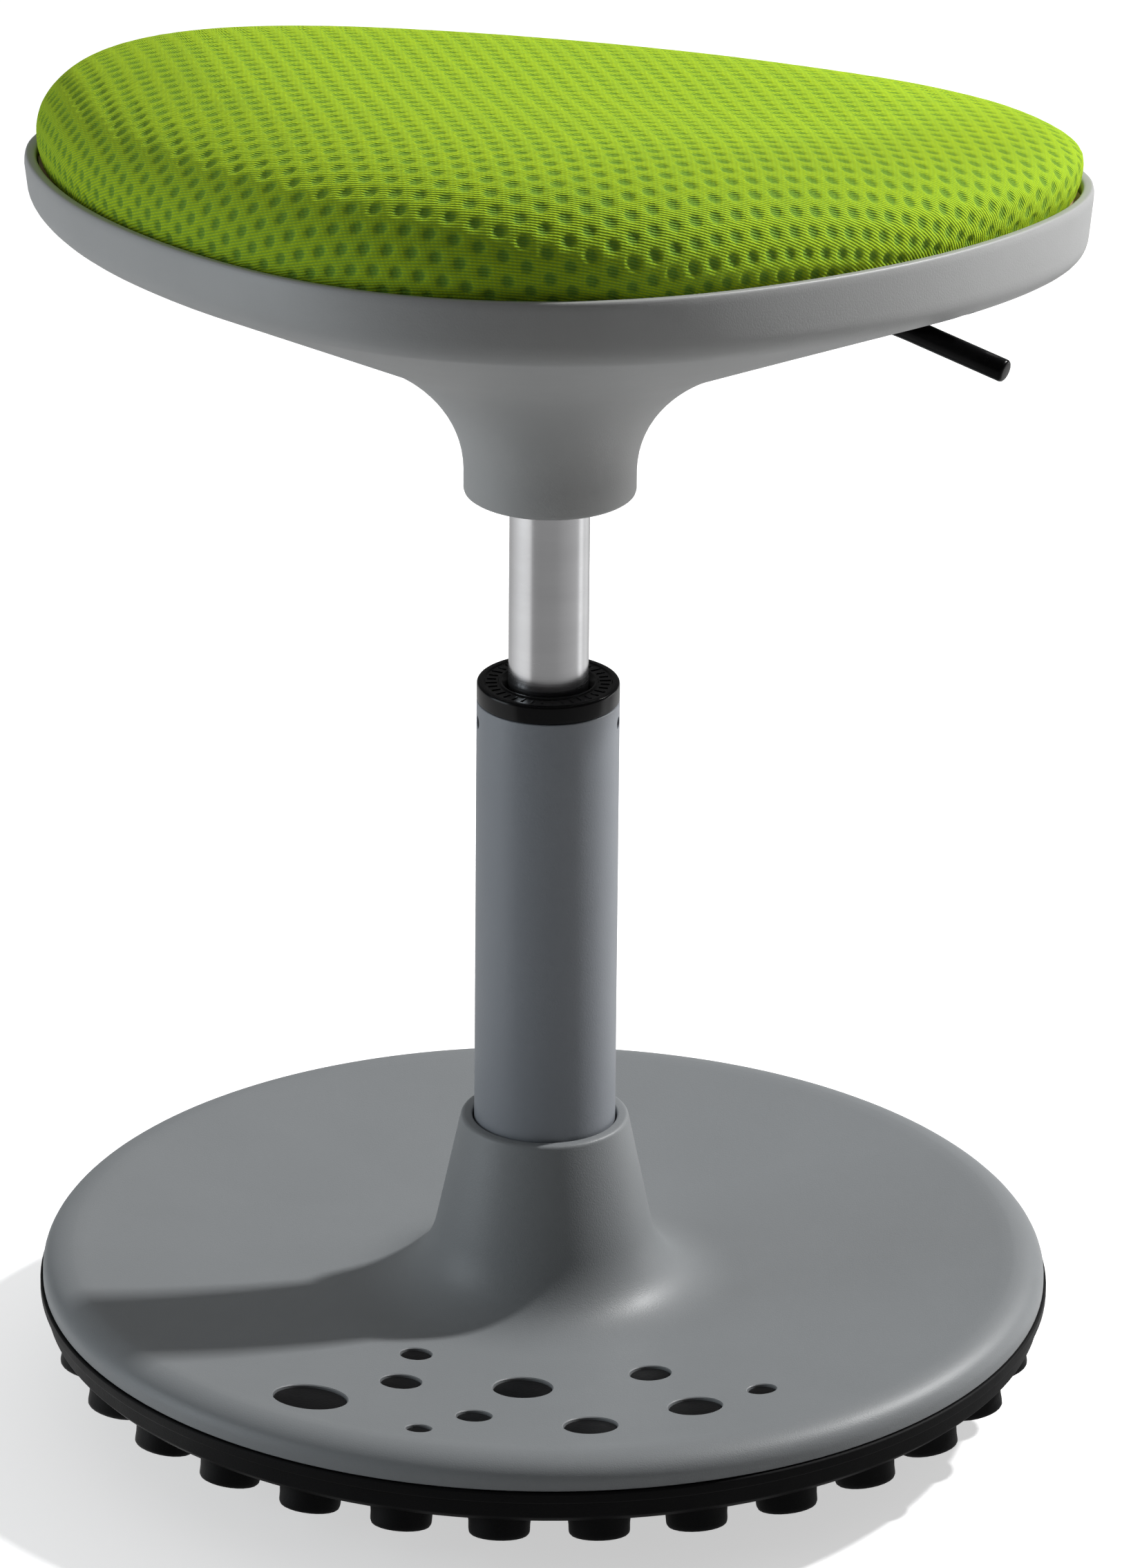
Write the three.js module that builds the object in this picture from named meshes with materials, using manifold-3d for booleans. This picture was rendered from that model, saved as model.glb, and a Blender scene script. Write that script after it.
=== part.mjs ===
// A height-adjustable wobble stool: a dished round base on a convex rubber sole, a gas lift in a
// steel column, and a three-cornered cushioned seat that leans forward over a one-piece shell.
// Millimetres, +Z up. The origin is on the floor, on the column's axis, under the middle stud.
import * as THREE from 'three';
import { mergeVertices } from 'three/addons/utils/BufferGeometryUtils.js';
import Module from 'manifold-3d';

const wasm = await Module();
wasm.setup();

const rad = THREE.MathUtils.degToRad;

// Clearances and cut overruns
const gap = 0.3;
const overrun = 2;

// Facet counts
const discSides = 40;
const seatSides = 42;
const tubeSides = 24;
const hiddenSides = 12;
const dotSides = 12;
const fastenerSides = 8;
const studSides = 8;
const innerStudSides = 6;

// Rolling sole
const baseRadius = 178.3;
const rollRise = 21.8;
const studDrop = 8.3;
const studRadius = 10.6;
const studFlare = 0.6;
const studEdge = 2.4;
const studInset = 13.3;
const studsInRings = [6, 12, 18, 30];
const studPhase = rad(0.85);
const soleSkin = 4;
const soleLipProud = 1;
const soleLipHeight = 4.4;
const soleWaist = 1.2;
const soleEdgeRound = 2.2;
const soleUpstand = 2.6;
const soleUpstandWall = 3.2;

// Dished cover
const coverLift = 42;
const coverSide = 3;
const coverEdgeWidth = 11.3;
const coverEdgeHeight = 7.6;
const dishDepth = 14.8;
const coverWall = 3;

// Hub of the cover
const hubTop = 103.2;
const hubTopRadius = 29.6;
const hubFootHeight = 62;
const hubFootRadius = 38.2;
const hubFlare = 25;
const hubLipRound = 1.6;
const hubLipChamfer = 0.9;
const hubCollarDepth = 6;
const hubClearance = 0.6;

// Rubber grip dots: share of the way from the hub's flare to the rim, azimuth, share of the
// widest dot
const dotDiameter = 25.4;
const dotSink = 0.8;
const matThickness = 2;
const matMargin = 5;
const dotShares = [
  [0.1462, -122.7, 0.42],
  [0.4148, -117.0, 0.55],
  [0.7717, -123.9, 1.00],
  [0.8511, -106.3, 0.33],
  [0.6474, -100.4, 0.47],
  [0.3175, -94.1, 0.80],
  [0.7285, -83.3, 0.72],
  [0.2562, -66.4, 0.55],
  [0.6456, -66.5, 0.72],
  [0.6365, -54.6, 0.38],
];

// Steel ballast plate and the screws that pull the cover down on it
const plateInset = 53.3;
const plateSeat = 0.75;
const plateThickness = 8;
const coverScrews = 4;
const coverScrewCircle = 64;
const coverScrewRadius = 2.8;
const coverScrewHead = 5.6;
const coverScrewHeadHeight = 3.6;
const bossWall = 3;
const bossRoof = 0.8;

// Column tube and its welded socket
const columnRadius = 25;
const columnWall = 2;
const columnTop = 261.5;
const columnFoot = 25;
const columnFloor = 3;
const columnTaperTop = 88;
const columnTaper = 1.3;
const socketTop = 86;
const socketWall = 3.2;
const socketFlange = 12;
const socketFlangeThickness = 4;
const snapHoleDrop = 7.2;
const snapHoleRadius = 2.2;
const snapAzimuth = rad(10.6);

// Gas spring
const tubeRadius = 14;
const tubeWall = 1.5;
const tubeTaper = 0.8;
const tubeTaperLength = 42;
const tubeCrimp = 1;
const rodRadius = 5;
const rodEndRadius = 4;
const washerRadius = 14;
const washerThickness = 2;
const bearingThickness = 3.6;
const bearingBore = 6;
const ballCount = 8;
const ballRadius = 1.7;
const bufferRadius = 10.5;
const bufferHeight = 33;
const stopGap = 1;
const lowTravel = 70;
const highTravel = 50;
const endGuideLength = 14;
const pistonLength = 10;
const pistonMargin = 1.5;
const pinRadius = 3;
const clipRadius = 8;
const clipThickness = 1.5;
const rodEndReach = 1.6;

// Guide bush in the column's mouth
const bushFlange = 6.7;
const bushEdge = 1.6;
const bushLength = 98;
const bushMouth = 2.4;

// Seat: a rounded triangle that leans forward, with one corner at the back
const tubeShown = 70.7;
const neckDrop = 110.5;
const seatFacing = rad(82.3);
const seatLean = rad(8.4);
const seatRadius = 180.9;
const seatTriangleShare = 0.085;
const seatCornerShare = 0.009;
const seatShiftSide = -3.7;
const seatShiftFore = 1.1;
const neckRadius = 30;
const neckEdge = 1.4;
const neckStraight = 8.2;
const shellWall = 3;
const flareRadius = 30.6;
const flareRise = 39.2;
const flareShare = 0.3;
const bandHeight = 20.4;
const bandLeanShare = 0.0192;
const bandDraft = 1.7;
const bandFillet = 7;
const lipWidth = 4.4;
const lipDepth = 2.6;
const ledgeWidth = 4.2;
const innerLeanShare = 0.45;
const innerRiseShare = 0.9;
// Lip section from the outer wall to the inner wall: share of its width, share of its depth
const lipShares = [
  [0, 1],
  [0.12, 0.36],
  [0.4, 0],
  [0.76, 0.06],
  [1, 0.7],
];

// Cushion: foam block with a domed top and sides that bulge a little over the shell's lip
const cushionSeat = 3.5;
const cushionCrown = 34.5;
const cushionBulge = 3.2;
const cushionBulgeHeight = 9;
const cushionPower = 5.25;
const cushionRoot = 1.9;
const cushionLeanShares = [-0.048, -0.026];
// Side section: share of the bulge, share of the bulge's height
const cushionSideShares = [
  [0, -0.39],
  [0.08, 0.02],
  [0.62, 0.3],
];
// Rings of the dome: share of the outline
const cushionDomeShares = [1, 0.985, 0.96, 0.92, 0.86, 0.78, 0.66, 0.5, 0.28];

// Board, mechanism plate and their fasteners
const boardThickness = 10;
const seatPlateThickness = 3;
const seatPlateHalfWidth = 84;
const seatPlateHalfDepth = 60;
const seatPlateCorner = 14;
const seatPlateWindow = 22;
const boltRadius = 3;
const boltHeadRadius = 5.4;
const boltHeadHeight = 4;
const boltInset = 14;
const teeFlangeRadius = 9;
const teeFlangeThickness = 1.2;
const teeBarrelRadius = 4;
const teeBarrelWall = 0.7;
const screwRadius = 2;
const screwHeadRadius = 4.4;
const screwHeadHeight = 2.6;
const screwLength = 26;
const postRadius = 6;
const postSpreadShare = 0.6;
const postDepthShare = 0.42;

// Cone socket of the mechanism
const coneWall = 4;
const coneDrop = 12;

// Height lever
const leverDrop = 23.2;
const leverAzimuth = rad(-29);
const leverRadius = 4;
const leverArm = 30;
const leverReachShare = 0.47;
const leverBend = 12;
const leverDroop = rad(13);
const leverOuter = 36.7;
const paddleLength = 18;
const paddleHalfWidth = 5;
const paddleThickness = 4;
const paddleReach = 6;
const pivotRadius = 2;
const earThickness = 2.5;
const earHalfWidth = 5;
const earReach = 5;
const pivotHead = 3.4;
const pivotHeadThickness = 1.2;
const leverLift = rad(4.5);
const slotMargin = 1.8;
// The slot's two ends, as shares of the rod's level run
const slotShares = [0.8, 1.58];

// Heights and places that follow from the sizes above
const sag = (radius, r) => radius - Math.sqrt(radius * radius - r * r);
const sphereRadius = (r, depth) => (r * r + depth * depth) / (2 * depth);
const rollRadius = sphereRadius(baseRadius, rollRise);
const studCircle = baseRadius - studInset;
const plateRadius = baseRadius - plateInset;
const dishRim = baseRadius - coverEdgeWidth;
const dishRadius = sphereRadius(dishRim, dishDepth);
const dishRimHeight = coverLift + coverSide + coverEdgeHeight;
const dishHeight = (r) => dishRimHeight - sag(dishRadius, dishRim) + sag(dishRadius, r);
const hubSlope = (hubFootRadius - hubTopRadius) / (hubTop - hubFootHeight);
const hubRadiusAt = (z) => hubTopRadius + (hubTop - z) * hubSlope;
const flareCorner = [hubRadiusAt(dishHeight(hubFootRadius)), dishHeight(hubFootRadius)];
const flareEnd = flareCorner[0] + hubFlare;
const dotRadiusAt = (share) => flareEnd + (dishRim - flareEnd) * share;
const soleInner = (r) => studDrop + soleSkin + sag(rollRadius, r);
const ballastFoot = soleInner(plateRadius) + plateSeat;
const ballastTop = ballastFoot + plateThickness;
const collarTop = columnTop + gap + bushFlange;
const washerFoot = columnFoot + columnFloor + gap;
const bearingFoot = washerFoot + washerThickness + gap;
const upperWasherFoot = bearingFoot + bearingThickness + gap;
const bufferFoot = upperWasherFoot + washerThickness + gap;
const tubeFoot = bufferFoot + bufferHeight + stopGap + lowTravel;
const neckFoot = collarTop + tubeShown;
const seatHeight = neckFoot + neckDrop;
const leverHeight = seatHeight - leverDrop;
const leverInner = seatRadius * leverReachShare;
const pinTop = leverHeight - paddleThickness / 2 - gap;
const pinTravel = leverArm * Math.tan(leverLift);
const tubeTop = pinTop - pinTravel - tubeWall * 3;
const taperFoot = tubeTop - tubeTaperLength;
const boardTop = -cushionSeat - gap;
const boardFoot = boardTop - boardThickness;
const seatPlateTop = boardFoot - gap;
const seatPlateFoot = seatPlateTop - seatPlateThickness;

// Materials
function finish(color, roughness, metalness = 0) {
  return new THREE.MeshStandardMaterial({ color, roughness, metalness });
}
const greyPlastic = () => finish(0x8c9092, 0.55);
const greyPaint = () => finish(0x7a7d83, 0.5, 0.3);
const blackRubber = () => finish(0x151517, 0.85);
const blackPlastic = () => finish(0x0e0e10, 0.3);
const brightSteel = () => finish(0xc9cacc, 0.25, 1);
const zincSteel = () => finish(0xa9adb2, 0.4, 1);
const blackSteel = () => finish(0x121214, 0.35, 0.6);
const plywood = () => finish(0xc49b66, 0.7);
const limeFabric = () => finish(0x9cc41e, 0.95);

// A closed geometry with shared corners, no flat triangles and its faces pointing out
function closed(geometry) {
  const bare = geometry.clone();
  bare.deleteAttribute('normal');
  bare.deleteAttribute('uv');
  const merged = mergeVertices(bare);
  const corners = merged.index.array;
  const place = merged.attributes.position;
  const a = new THREE.Vector3();
  const b = new THREE.Vector3();
  const c = new THREE.Vector3();
  const kept = [];
  let volume = 0;
  for (let i = 0; i < corners.length; i += 3) {
    const [p, q, r] = [corners[i], corners[i + 1], corners[i + 2]];
    if (p === q || q === r || r === p) continue;
    kept.push([p, q, r]);
    a.fromBufferAttribute(place, p);
    b.fromBufferAttribute(place, q);
    c.fromBufferAttribute(place, r);
    volume += a.dot(b.cross(c));
  }
  const index = kept.flatMap(([p, q, r]) => (volume < 0 ? [p, r, q] : [p, q, r]));
  merged.setIndex(index);
  return merged;
}

function solidOf(geometry) {
  const shape = closed(geometry);
  return new wasm.Manifold(new wasm.Mesh({
    numProp: 3,
    vertProperties: new Float32Array(shape.attributes.position.array),
    triVerts: new Uint32Array(shape.index.array),
  }));
}

function geometryOf(solid) {
  const mesh = solid.getMesh();
  const geometry = new THREE.BufferGeometry();
  geometry.setAttribute('position', new THREE.BufferAttribute(mesh.vertProperties, 3));
  geometry.setIndex(new THREE.BufferAttribute(mesh.triVerts, 1));
  return geometry;
}

function joined(first, others) {
  return geometryOf(others.reduce((sum, other) => sum.add(solidOf(other)), solidOf(first)));
}

function cut(geometry, tools) {
  return geometryOf(tools.reduce((rest, tool) => rest.subtract(solidOf(tool)), solidOf(geometry)));
}

function common(first, second) {
  return geometryOf(solidOf(first).intersect(solidOf(second)));
}

// A revolve about +Z of [radius, height] points
function revolve(profile, sides) {
  const points = profile.map(([r, z]) => new THREE.Vector2(r, z));
  return new THREE.LatheGeometry(points, sides).rotateX(Math.PI / 2);
}

// A revolve whose profile closes on itself, for rings and tubes
function ring(profile, sides) {
  return revolve([...profile, profile[0]], sides);
}

function tubeBetween(inner, outer, low, high, sides) {
  return ring([[inner, low], [outer, low], [outer, high], [inner, high]], sides);
}

function rodBetween(radius, low, high, sides) {
  return revolve([[0, low], [radius, low], [radius, high], [0, high]], sides);
}

function blockBetween(low, high) {
  const size = new THREE.Vector3().subVectors(high, low);
  const middle = new THREE.Vector3().addVectors(high, low).multiplyScalar(0.5);
  return new THREE.BoxGeometry(size.x, size.y, size.z).translate(middle.x, middle.y, middle.z);
}

// A skin through closed rings of points: capped at both ends, or closed on itself
function loft(rings, closedOnItself) {
  const count = rings[0].length;
  const points = rings.flat();
  const index = [];
  const last = closedOnItself ? rings.length : rings.length - 1;
  for (let k = 0; k < last; k += 1) {
    const low = k * count;
    const high = ((k + 1) % rings.length) * count;
    for (let i = 0; i < count; i += 1) {
      const j = (i + 1) % count;
      index.push(low + i, low + j, high + j, low + i, high + j, high + i);
    }
  }
  if (!closedOnItself) {
    const ends = [[0, true], [(rings.length - 1) * count, false]];
    for (const [start, flip] of ends) {
      const middle = new THREE.Vector3();
      for (let i = 0; i < count; i += 1) middle.add(points[start + i]);
      points.push(middle.multiplyScalar(1 / count));
      const hub = points.length - 1;
      for (let i = 0; i < count; i += 1) {
        const pair = [start + i, start + ((i + 1) % count)];
        index.push(...(flip ? [pair[1], pair[0], hub] : [pair[0], pair[1], hub]));
      }
    }
  }
  const geometry = new THREE.BufferGeometry().setFromPoints(points);
  geometry.setIndex(index);
  return geometry;
}

// Points of a smooth corner from one [radius, height] to another round a third
function rounded(from, corner, to, steps) {
  const curve = new THREE.QuadraticBezierCurve(
    new THREE.Vector2(...from),
    new THREE.Vector2(...corner),
    new THREE.Vector2(...to),
  );
  return curve.getPoints(steps).map((p) => [p.x, p.y]);
}

// Points of a quarter ellipse about a centre, from its side up to its top
function quarter(centre, width, height, steps) {
  const points = [];
  for (let i = 0; i <= steps; i += 1) {
    const t = (i / steps) * (Math.PI / 2);
    points.push([centre[0] + width * Math.cos(t), centre[1] + height * Math.sin(t)]);
  }
  return points;
}

const polar = (radius, angle, z = 0) => new THREE.Vector3(
  radius * Math.cos(angle),
  radius * Math.sin(angle),
  z,
);

function piece(name, geometry, material) {
  const mesh = new THREE.Mesh(closed(geometry), material);
  mesh.name = name;
  return mesh;
}

// Sole: a rubber dish under a rolling sphere, with a two-step edge and rings of studs
function soleDish() {
  const underside = (r) => studDrop + sag(rollRadius, r);
  const lipRadius = baseRadius + soleLipProud;
  const waist = baseRadius - soleWaist;
  const lipTop = coverLift - gap;
  const lipFoot = lipTop - soleLipHeight;
  const upstandOuter = baseRadius - coverWall - gap;
  const upstandInner = upstandOuter - soleUpstandWall;
  const edge = waist - soleEdgeRound;
  const profile = [[0, underside(0)]];
  const steps = 3;
  for (let i = 1; i <= steps; i += 1) profile.push([(edge * i) / steps, underside((edge * i) / steps)]);
  profile.push([waist, underside(edge) + soleEdgeRound]);
  profile.push([waist, lipFoot]);
  profile.push([lipRadius, lipFoot + soleWaist / 2]);
  profile.push([lipRadius, lipTop]);
  profile.push([upstandOuter, lipTop]);
  profile.push([upstandOuter, coverLift + soleUpstand]);
  profile.push([upstandInner, coverLift + soleUpstand]);
  profile.push([upstandInner, soleInner(upstandInner)]);
  for (let i = steps - 1; i > 0; i -= 1) {
    const r = (upstandInner * i) / steps;
    profile.push([r, soleInner(r)]);
  }
  profile.push([0, soleInner(0)]);
  return revolve(profile, discSides);
}

function stud(sides, chamfered, stretch) {
  const top = studDrop + soleSkin / 2 + stretch;
  const foot = chamfered ? [[studRadius - studEdge, 0], [studRadius, studEdge]] : [[studRadius, 0]];
  const profile = [[0, 0], ...foot, [studRadius + studFlare, top], [0, top]];
  return revolve(profile, sides);
}

// Each stud stands square to the rolling sphere. The middle stud and the first ring end on
// one level, so that the stool stands upright by itself.
function studAt(ringNumber, angle) {
  const radius = (studCircle * ringNumber) / studsInRings.length;
  const outermost = ringNumber === studsInRings.length;
  const level = ringNumber <= 1;
  const stretch = level ? sag(rollRadius, radius) : 0;
  const shape = stud(outermost ? studSides : innerStudSides, outermost, stretch);
  if (!level) shape.rotateY(-Math.asin(radius / rollRadius));
  shape.translate(radius, 0, level ? 0 : sag(rollRadius, radius));
  return shape.rotateZ(angle);
}

function rubberSole() {
  const studs = [studAt(0, 0)];
  studsInRings.forEach((count, k) => {
    for (let i = 0; i < count; i += 1) {
      const turn = (2 * Math.PI * (i + 0.5)) / count;
      studs.push(studAt(k + 1, turn - Math.PI / 2 + studPhase));
    }
  });
  return piece('rubber_sole', joined(soleDish(), studs), blackRubber());
}

// Cover: a dished plastic moulding with a rolled edge that sweeps up into the hub
function coverSection() {
  const centre = [dishRim, coverLift + coverSide];
  const outerEdge = quarter(centre, coverEdgeWidth, coverEdgeHeight, 3);
  const innerEdge = quarter(centre, coverEdgeWidth - coverWall, coverEdgeHeight - coverWall, 1);
  const flareFoot = [flareEnd, dishHeight(flareEnd)];
  const outerFlare = rounded([hubFootRadius, hubFootHeight], flareCorner, flareFoot, 4);
  const innerFlare = outerFlare.filter((_, i) => i % 2 === 0).map(([r, z], i, all) => {
    const share = i / (all.length - 1);
    return [r - coverWall * (1 - share), z - coverWall * share];
  });
  const dishSteps = 4;
  const span = dishRim - flareEnd;
  const between = (i) => dishRim - (span * i) / dishSteps;
  const outerDish = [];
  for (let i = 1; i < dishSteps; i += 1) outerDish.push([between(i), dishHeight(between(i))]);
  const innerDish = outerDish.filter((_, i) => i % 2 === 1).map(([r, z]) => [r, z - coverWall]);
  const bore = columnRadius + hubClearance;
  const collarFoot = hubTop - hubCollarDepth;
  return [
    [baseRadius - coverWall, coverLift],
    [baseRadius, coverLift],
    ...outerEdge,
    ...outerDish,
    ...outerFlare.reverse(),
    [hubRadiusAt(hubTop - hubLipRound), hubTop - hubLipRound],
    [hubTopRadius - hubLipRound / 3, hubTop - hubLipRound / 3],
    [hubTopRadius - hubLipRound, hubTop],
    [bore + hubLipChamfer, hubTop],
    [bore, hubTop - hubLipChamfer],
    [bore, collarFoot],
    [hubRadiusAt(collarFoot) - coverWall, collarFoot - hubLipRound],
    ...innerFlare,
    ...innerDish.reverse(),
    ...innerEdge.reverse(),
  ];
}

// A round rod square to the dish at one of the grip dots, from one depth to another
function dotRod([share, azimuth, sizeShare], clearance, low, high) {
  const r = dotRadiusAt(share);
  const rod = rodBetween((dotDiameter * sizeShare) / 2 + clearance, low, high, dotSides);
  return rod.rotateY(-Math.asin(r / dishRadius)).translate(r, 0, dishHeight(r)).rotateZ(rad(azimuth));
}

const coverScrewAngle = (i) => (2 * Math.PI * (i + 0.5)) / coverScrews;

function baseCover() {
  const roof = dishHeight(coverScrewCircle) - coverWall;
  const bosses = [];
  const bores = [];
  for (let i = 0; i < coverScrews; i += 1) {
    const place = polar(coverScrewCircle, coverScrewAngle(i));
    const outer = coverScrewRadius + gap + bossWall;
    const boss = rodBetween(outer, ballastTop + gap, roof + coverWall / 2, fastenerSides);
    const bore = rodBetween(coverScrewRadius + gap, ballastTop - overrun, roof - bossRoof, fastenerSides);
    bosses.push(boss.translate(place.x, place.y, 0));
    bores.push(bore.translate(place.x, place.y, 0));
  }
  const body = joined(ring(coverSection(), discSides), bosses);
  const holes = dotShares.map((dot) => dotRod(dot, gap, -coverWall - overrun, overrun));
  return piece('base_cover', cut(body, [...bores, ...holes]), greyPlastic());
}

// Grip mat: one rubber moulding under the cover, its ten bosses showing through round holes
function gripMat() {
  const reach = dotShares.map(([share, , sizeShare]) => [
    dotRadiusAt(share) - (dotDiameter * sizeShare) / 2,
    dotRadiusAt(share) + (dotDiameter * sizeShare) / 2,
  ]);
  const inner = Math.min(...reach.map(([low]) => low)) - matMargin / 2;
  const outer = Math.max(...reach.map(([, high]) => high)) + matMargin / 2;
  const azimuths = dotShares.map(([, azimuth]) => rad(azimuth));
  const spread = Math.asin((dotDiameter / 2 + matMargin) / inner) / 2;
  const from = Math.min(...azimuths) - spread;
  const to = Math.max(...azimuths) + spread;
  const under = (r) => dishHeight(r) - coverWall - gap;
  const steps = 2;
  const upper = [];
  for (let i = 0; i <= steps; i += 1) {
    const r = inner + ((outer - inner) * i) / steps;
    upper.push([r, under(r)]);
  }
  const lower = upper.map(([r, z]) => [r, z - matThickness]).reverse();
  const sector = new THREE.Shape();
  sector.moveTo(0, 0);
  sector.absarc(0, 0, outer + overrun, from, to, false);
  sector.lineTo(0, 0);
  const wedge = new THREE.ExtrudeGeometry(sector, {
    depth: dishRimHeight,
    bevelEnabled: false,
    curveSegments: dotSides / 2,
  });
  const sheet = common(ring([...upper, ...lower], discSides), wedge);
  const root = -coverWall - gap - matThickness / 2;
  const bosses = dotShares.map((dot) => dotRod(dot, 0, root, -dotSink));
  return piece('grip_mat', joined(sheet, bosses), blackRubber());
}

function ballastPlate() {
  const columnHole = columnRadius - columnTaper + 3 * gap;
  const plate = tubeBetween(columnHole, plateRadius, ballastFoot, ballastTop, tubeSides);
  const holes = [];
  for (let i = 0; i < coverScrews; i += 1) {
    const place = polar(coverScrewCircle, coverScrewAngle(i));
    const low = ballastFoot - overrun;
    const hole = rodBetween(coverScrewRadius + gap, low, ballastTop + overrun, fastenerSides);
    holes.push(hole.translate(place.x, place.y, 0));
  }
  return piece('ballast_plate', cut(plate, holes), zincSteel());
}

function coverScrew(i) {
  const head = ballastFoot - gap;
  const tip = dishHeight(coverScrewCircle) - coverWall - bossRoof - gap;
  const profile = [
    [0, head - coverScrewHeadHeight],
    [coverScrewHead - gap, head - coverScrewHeadHeight],
    [coverScrewHead, head],
    [coverScrewRadius, head],
    [coverScrewRadius, tip - coverScrewRadius / 2],
    [coverScrewRadius / 2, tip],
    [0, tip],
  ];
  const place = polar(coverScrewCircle, coverScrewAngle(i));
  const screw = revolve(profile, fastenerSides).translate(place.x, place.y, 0);
  return piece(`cover_screw_${i + 1}`, screw, zincSteel());
}

// Column: steel tube with a drawn-in foot that wedges in the socket on the ballast plate
const columnOuterAt = (z) => {
  const share = Math.min(1, Math.max(0, (columnTaperTop - z) / (columnTaperTop - columnFoot)));
  return columnRadius - columnTaper * share;
};

function baseSocket() {
  const foot = ballastTop + gap;
  const boreAt = (z) => columnOuterAt(z) + gap;
  const outer = boreAt(socketTop) + socketWall;
  const profile = [
    [boreAt(foot), foot],
    [outer + socketFlange, foot],
    [outer + socketFlange, foot + socketFlangeThickness],
    [outer, foot + socketFlangeThickness + socketWall],
    [outer, socketTop],
    [boreAt(socketTop), socketTop],
  ];
  return piece('base_socket', ring(profile, tubeSides), zincSteel());
}

const snapPlaces = [-snapAzimuth, Math.PI + snapAzimuth];

function snapPeg(angle, inner, outer, radius) {
  const peg = rodBetween(radius, inner, outer, fastenerSides).rotateY(Math.PI / 2);
  return peg.rotateZ(angle).translate(0, 0, columnTop - snapHoleDrop);
}

function columnTube() {
  const hole = bearingBore;
  const profile = [
    [hole, columnFoot],
    [columnOuterAt(columnFoot), columnFoot],
    [columnRadius, columnTaperTop],
    [columnRadius, columnTop],
    [columnRadius - columnWall, columnTop],
    [columnRadius - columnWall, columnTaperTop],
    [columnOuterAt(columnFoot) - columnWall, columnFoot + columnFloor],
    [hole, columnFoot + columnFloor],
  ];
  const reach = [columnRadius - columnWall - overrun, columnRadius + overrun];
  const holes = snapPlaces.map((angle) => snapPeg(angle, reach[0], reach[1], snapHoleRadius));
  return piece('column_tube', cut(ring(profile, tubeSides), holes), greyPaint());
}

// Guide bush: flanged plastic sleeve, held by two pegs that snap into the column's holes
function guideBush() {
  const bore = tubeRadius + gap;
  const spigot = columnRadius - columnWall - gap;
  const flangeFoot = columnTop + gap;
  const foot = flangeFoot - bushLength;
  const profile = [
    [bore, foot],
    [spigot - gap, foot],
    [spigot, foot + bushMouth],
    [spigot, flangeFoot],
    [columnRadius, flangeFoot],
    [columnRadius, collarTop - bushEdge],
    [columnRadius - bushEdge / 3, collarTop - bushEdge / 3],
    [columnRadius - bushEdge, collarTop],
    [bore + bushMouth, collarTop],
    [bore, collarTop - bushMouth],
  ];
  const pegs = snapPlaces.map((angle) => snapPeg(
    angle,
    spigot - columnWall,
    columnRadius - gap,
    snapHoleRadius - gap,
  ));
  return piece('guide_bush', joined(ring(profile, tubeSides), pegs), blackPlastic());
}

// Thrust bearing: a cage with balls standing out on both faces between two washers
function thrustBearing() {
  const cage = bearingThickness - 2 * gap;
  const middle = bearingFoot + bearingThickness / 2;
  const body = tubeBetween(bearingBore, washerRadius, middle - cage / 2, middle + cage / 2, hiddenSides);
  const balls = [];
  for (let i = 0; i < ballCount; i += 1) {
    const place = polar((bearingBore + washerRadius) / 2, (2 * Math.PI * i) / ballCount, middle);
    const ball = new THREE.SphereGeometry(ballRadius + gap / 2, 6, 4);
    balls.push(ball.translate(place.x, place.y, place.z));
  }
  return piece('thrust_bearing', joined(body, balls), zincSteel());
}

function washer(name, foot, bore, radius, thickness, material) {
  return piece(name, tubeBetween(bore, radius, foot, foot + thickness, hiddenSides), material);
}

// Piston rod: hangs in the column's foot on its shoulder, and carries the piston at its top
const pistonFoot = tubeFoot + highTravel + endGuideLength + pistonMargin;
const clipTop = columnFoot - gap;

function pistonRod() {
  const foot = clipTop - 2 * clipThickness - gap - rodEndReach;
  const profile = [
    [0, foot],
    [rodEndRadius, foot],
    [rodEndRadius, bufferFoot],
    [rodRadius, bufferFoot],
    [rodRadius, pistonFoot + pistonLength],
    [0, pistonFoot + pistonLength],
  ];
  return piece('piston_rod', revolve(profile, hiddenSides), brightSteel());
}

function piston() {
  const bore = rodRadius + gap;
  const outer = tubeRadius - tubeWall - gap;
  const groove = pistonLength / 4;
  const profile = [
    [bore, pistonFoot],
    [outer, pistonFoot],
    [outer, pistonFoot + groove],
    [outer - tubeWall, pistonFoot + groove + gap],
    [outer - tubeWall, pistonFoot + pistonLength - groove - gap],
    [outer, pistonFoot + pistonLength - groove],
    [outer, pistonFoot + pistonLength],
    [bore, pistonFoot + pistonLength],
  ];
  return piece('piston', ring(profile, hiddenSides), zincSteel());
}

// Pressure tube: the bright tube that slides in the bush, with a wedge taper at its top
const tubeOuterAt = (z) => {
  const share = Math.min(1, Math.max(0, (z - taperFoot) / tubeTaperLength));
  return tubeRadius - tubeTaper * share;
};
const valveRadius = tubeRadius - tubeTaper - tubeWall - gap;
const valveFoot = tubeTop - tubeTaperLength / 2;

function pressureTube() {
  const bore = tubeRadius - tubeWall;
  const profile = [
    [bore, tubeFoot],
    [tubeRadius - tubeCrimp / 2, tubeFoot],
    [tubeRadius, tubeFoot + tubeCrimp],
    [tubeRadius, taperFoot],
    [tubeOuterAt(tubeTop), tubeTop],
    [valveRadius + gap, tubeTop],
    [valveRadius + gap, valveFoot - tubeWall],
    [bore, taperFoot],
  ];
  return piece('pressure_tube', ring(profile, tubeSides), brightSteel());
}

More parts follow.
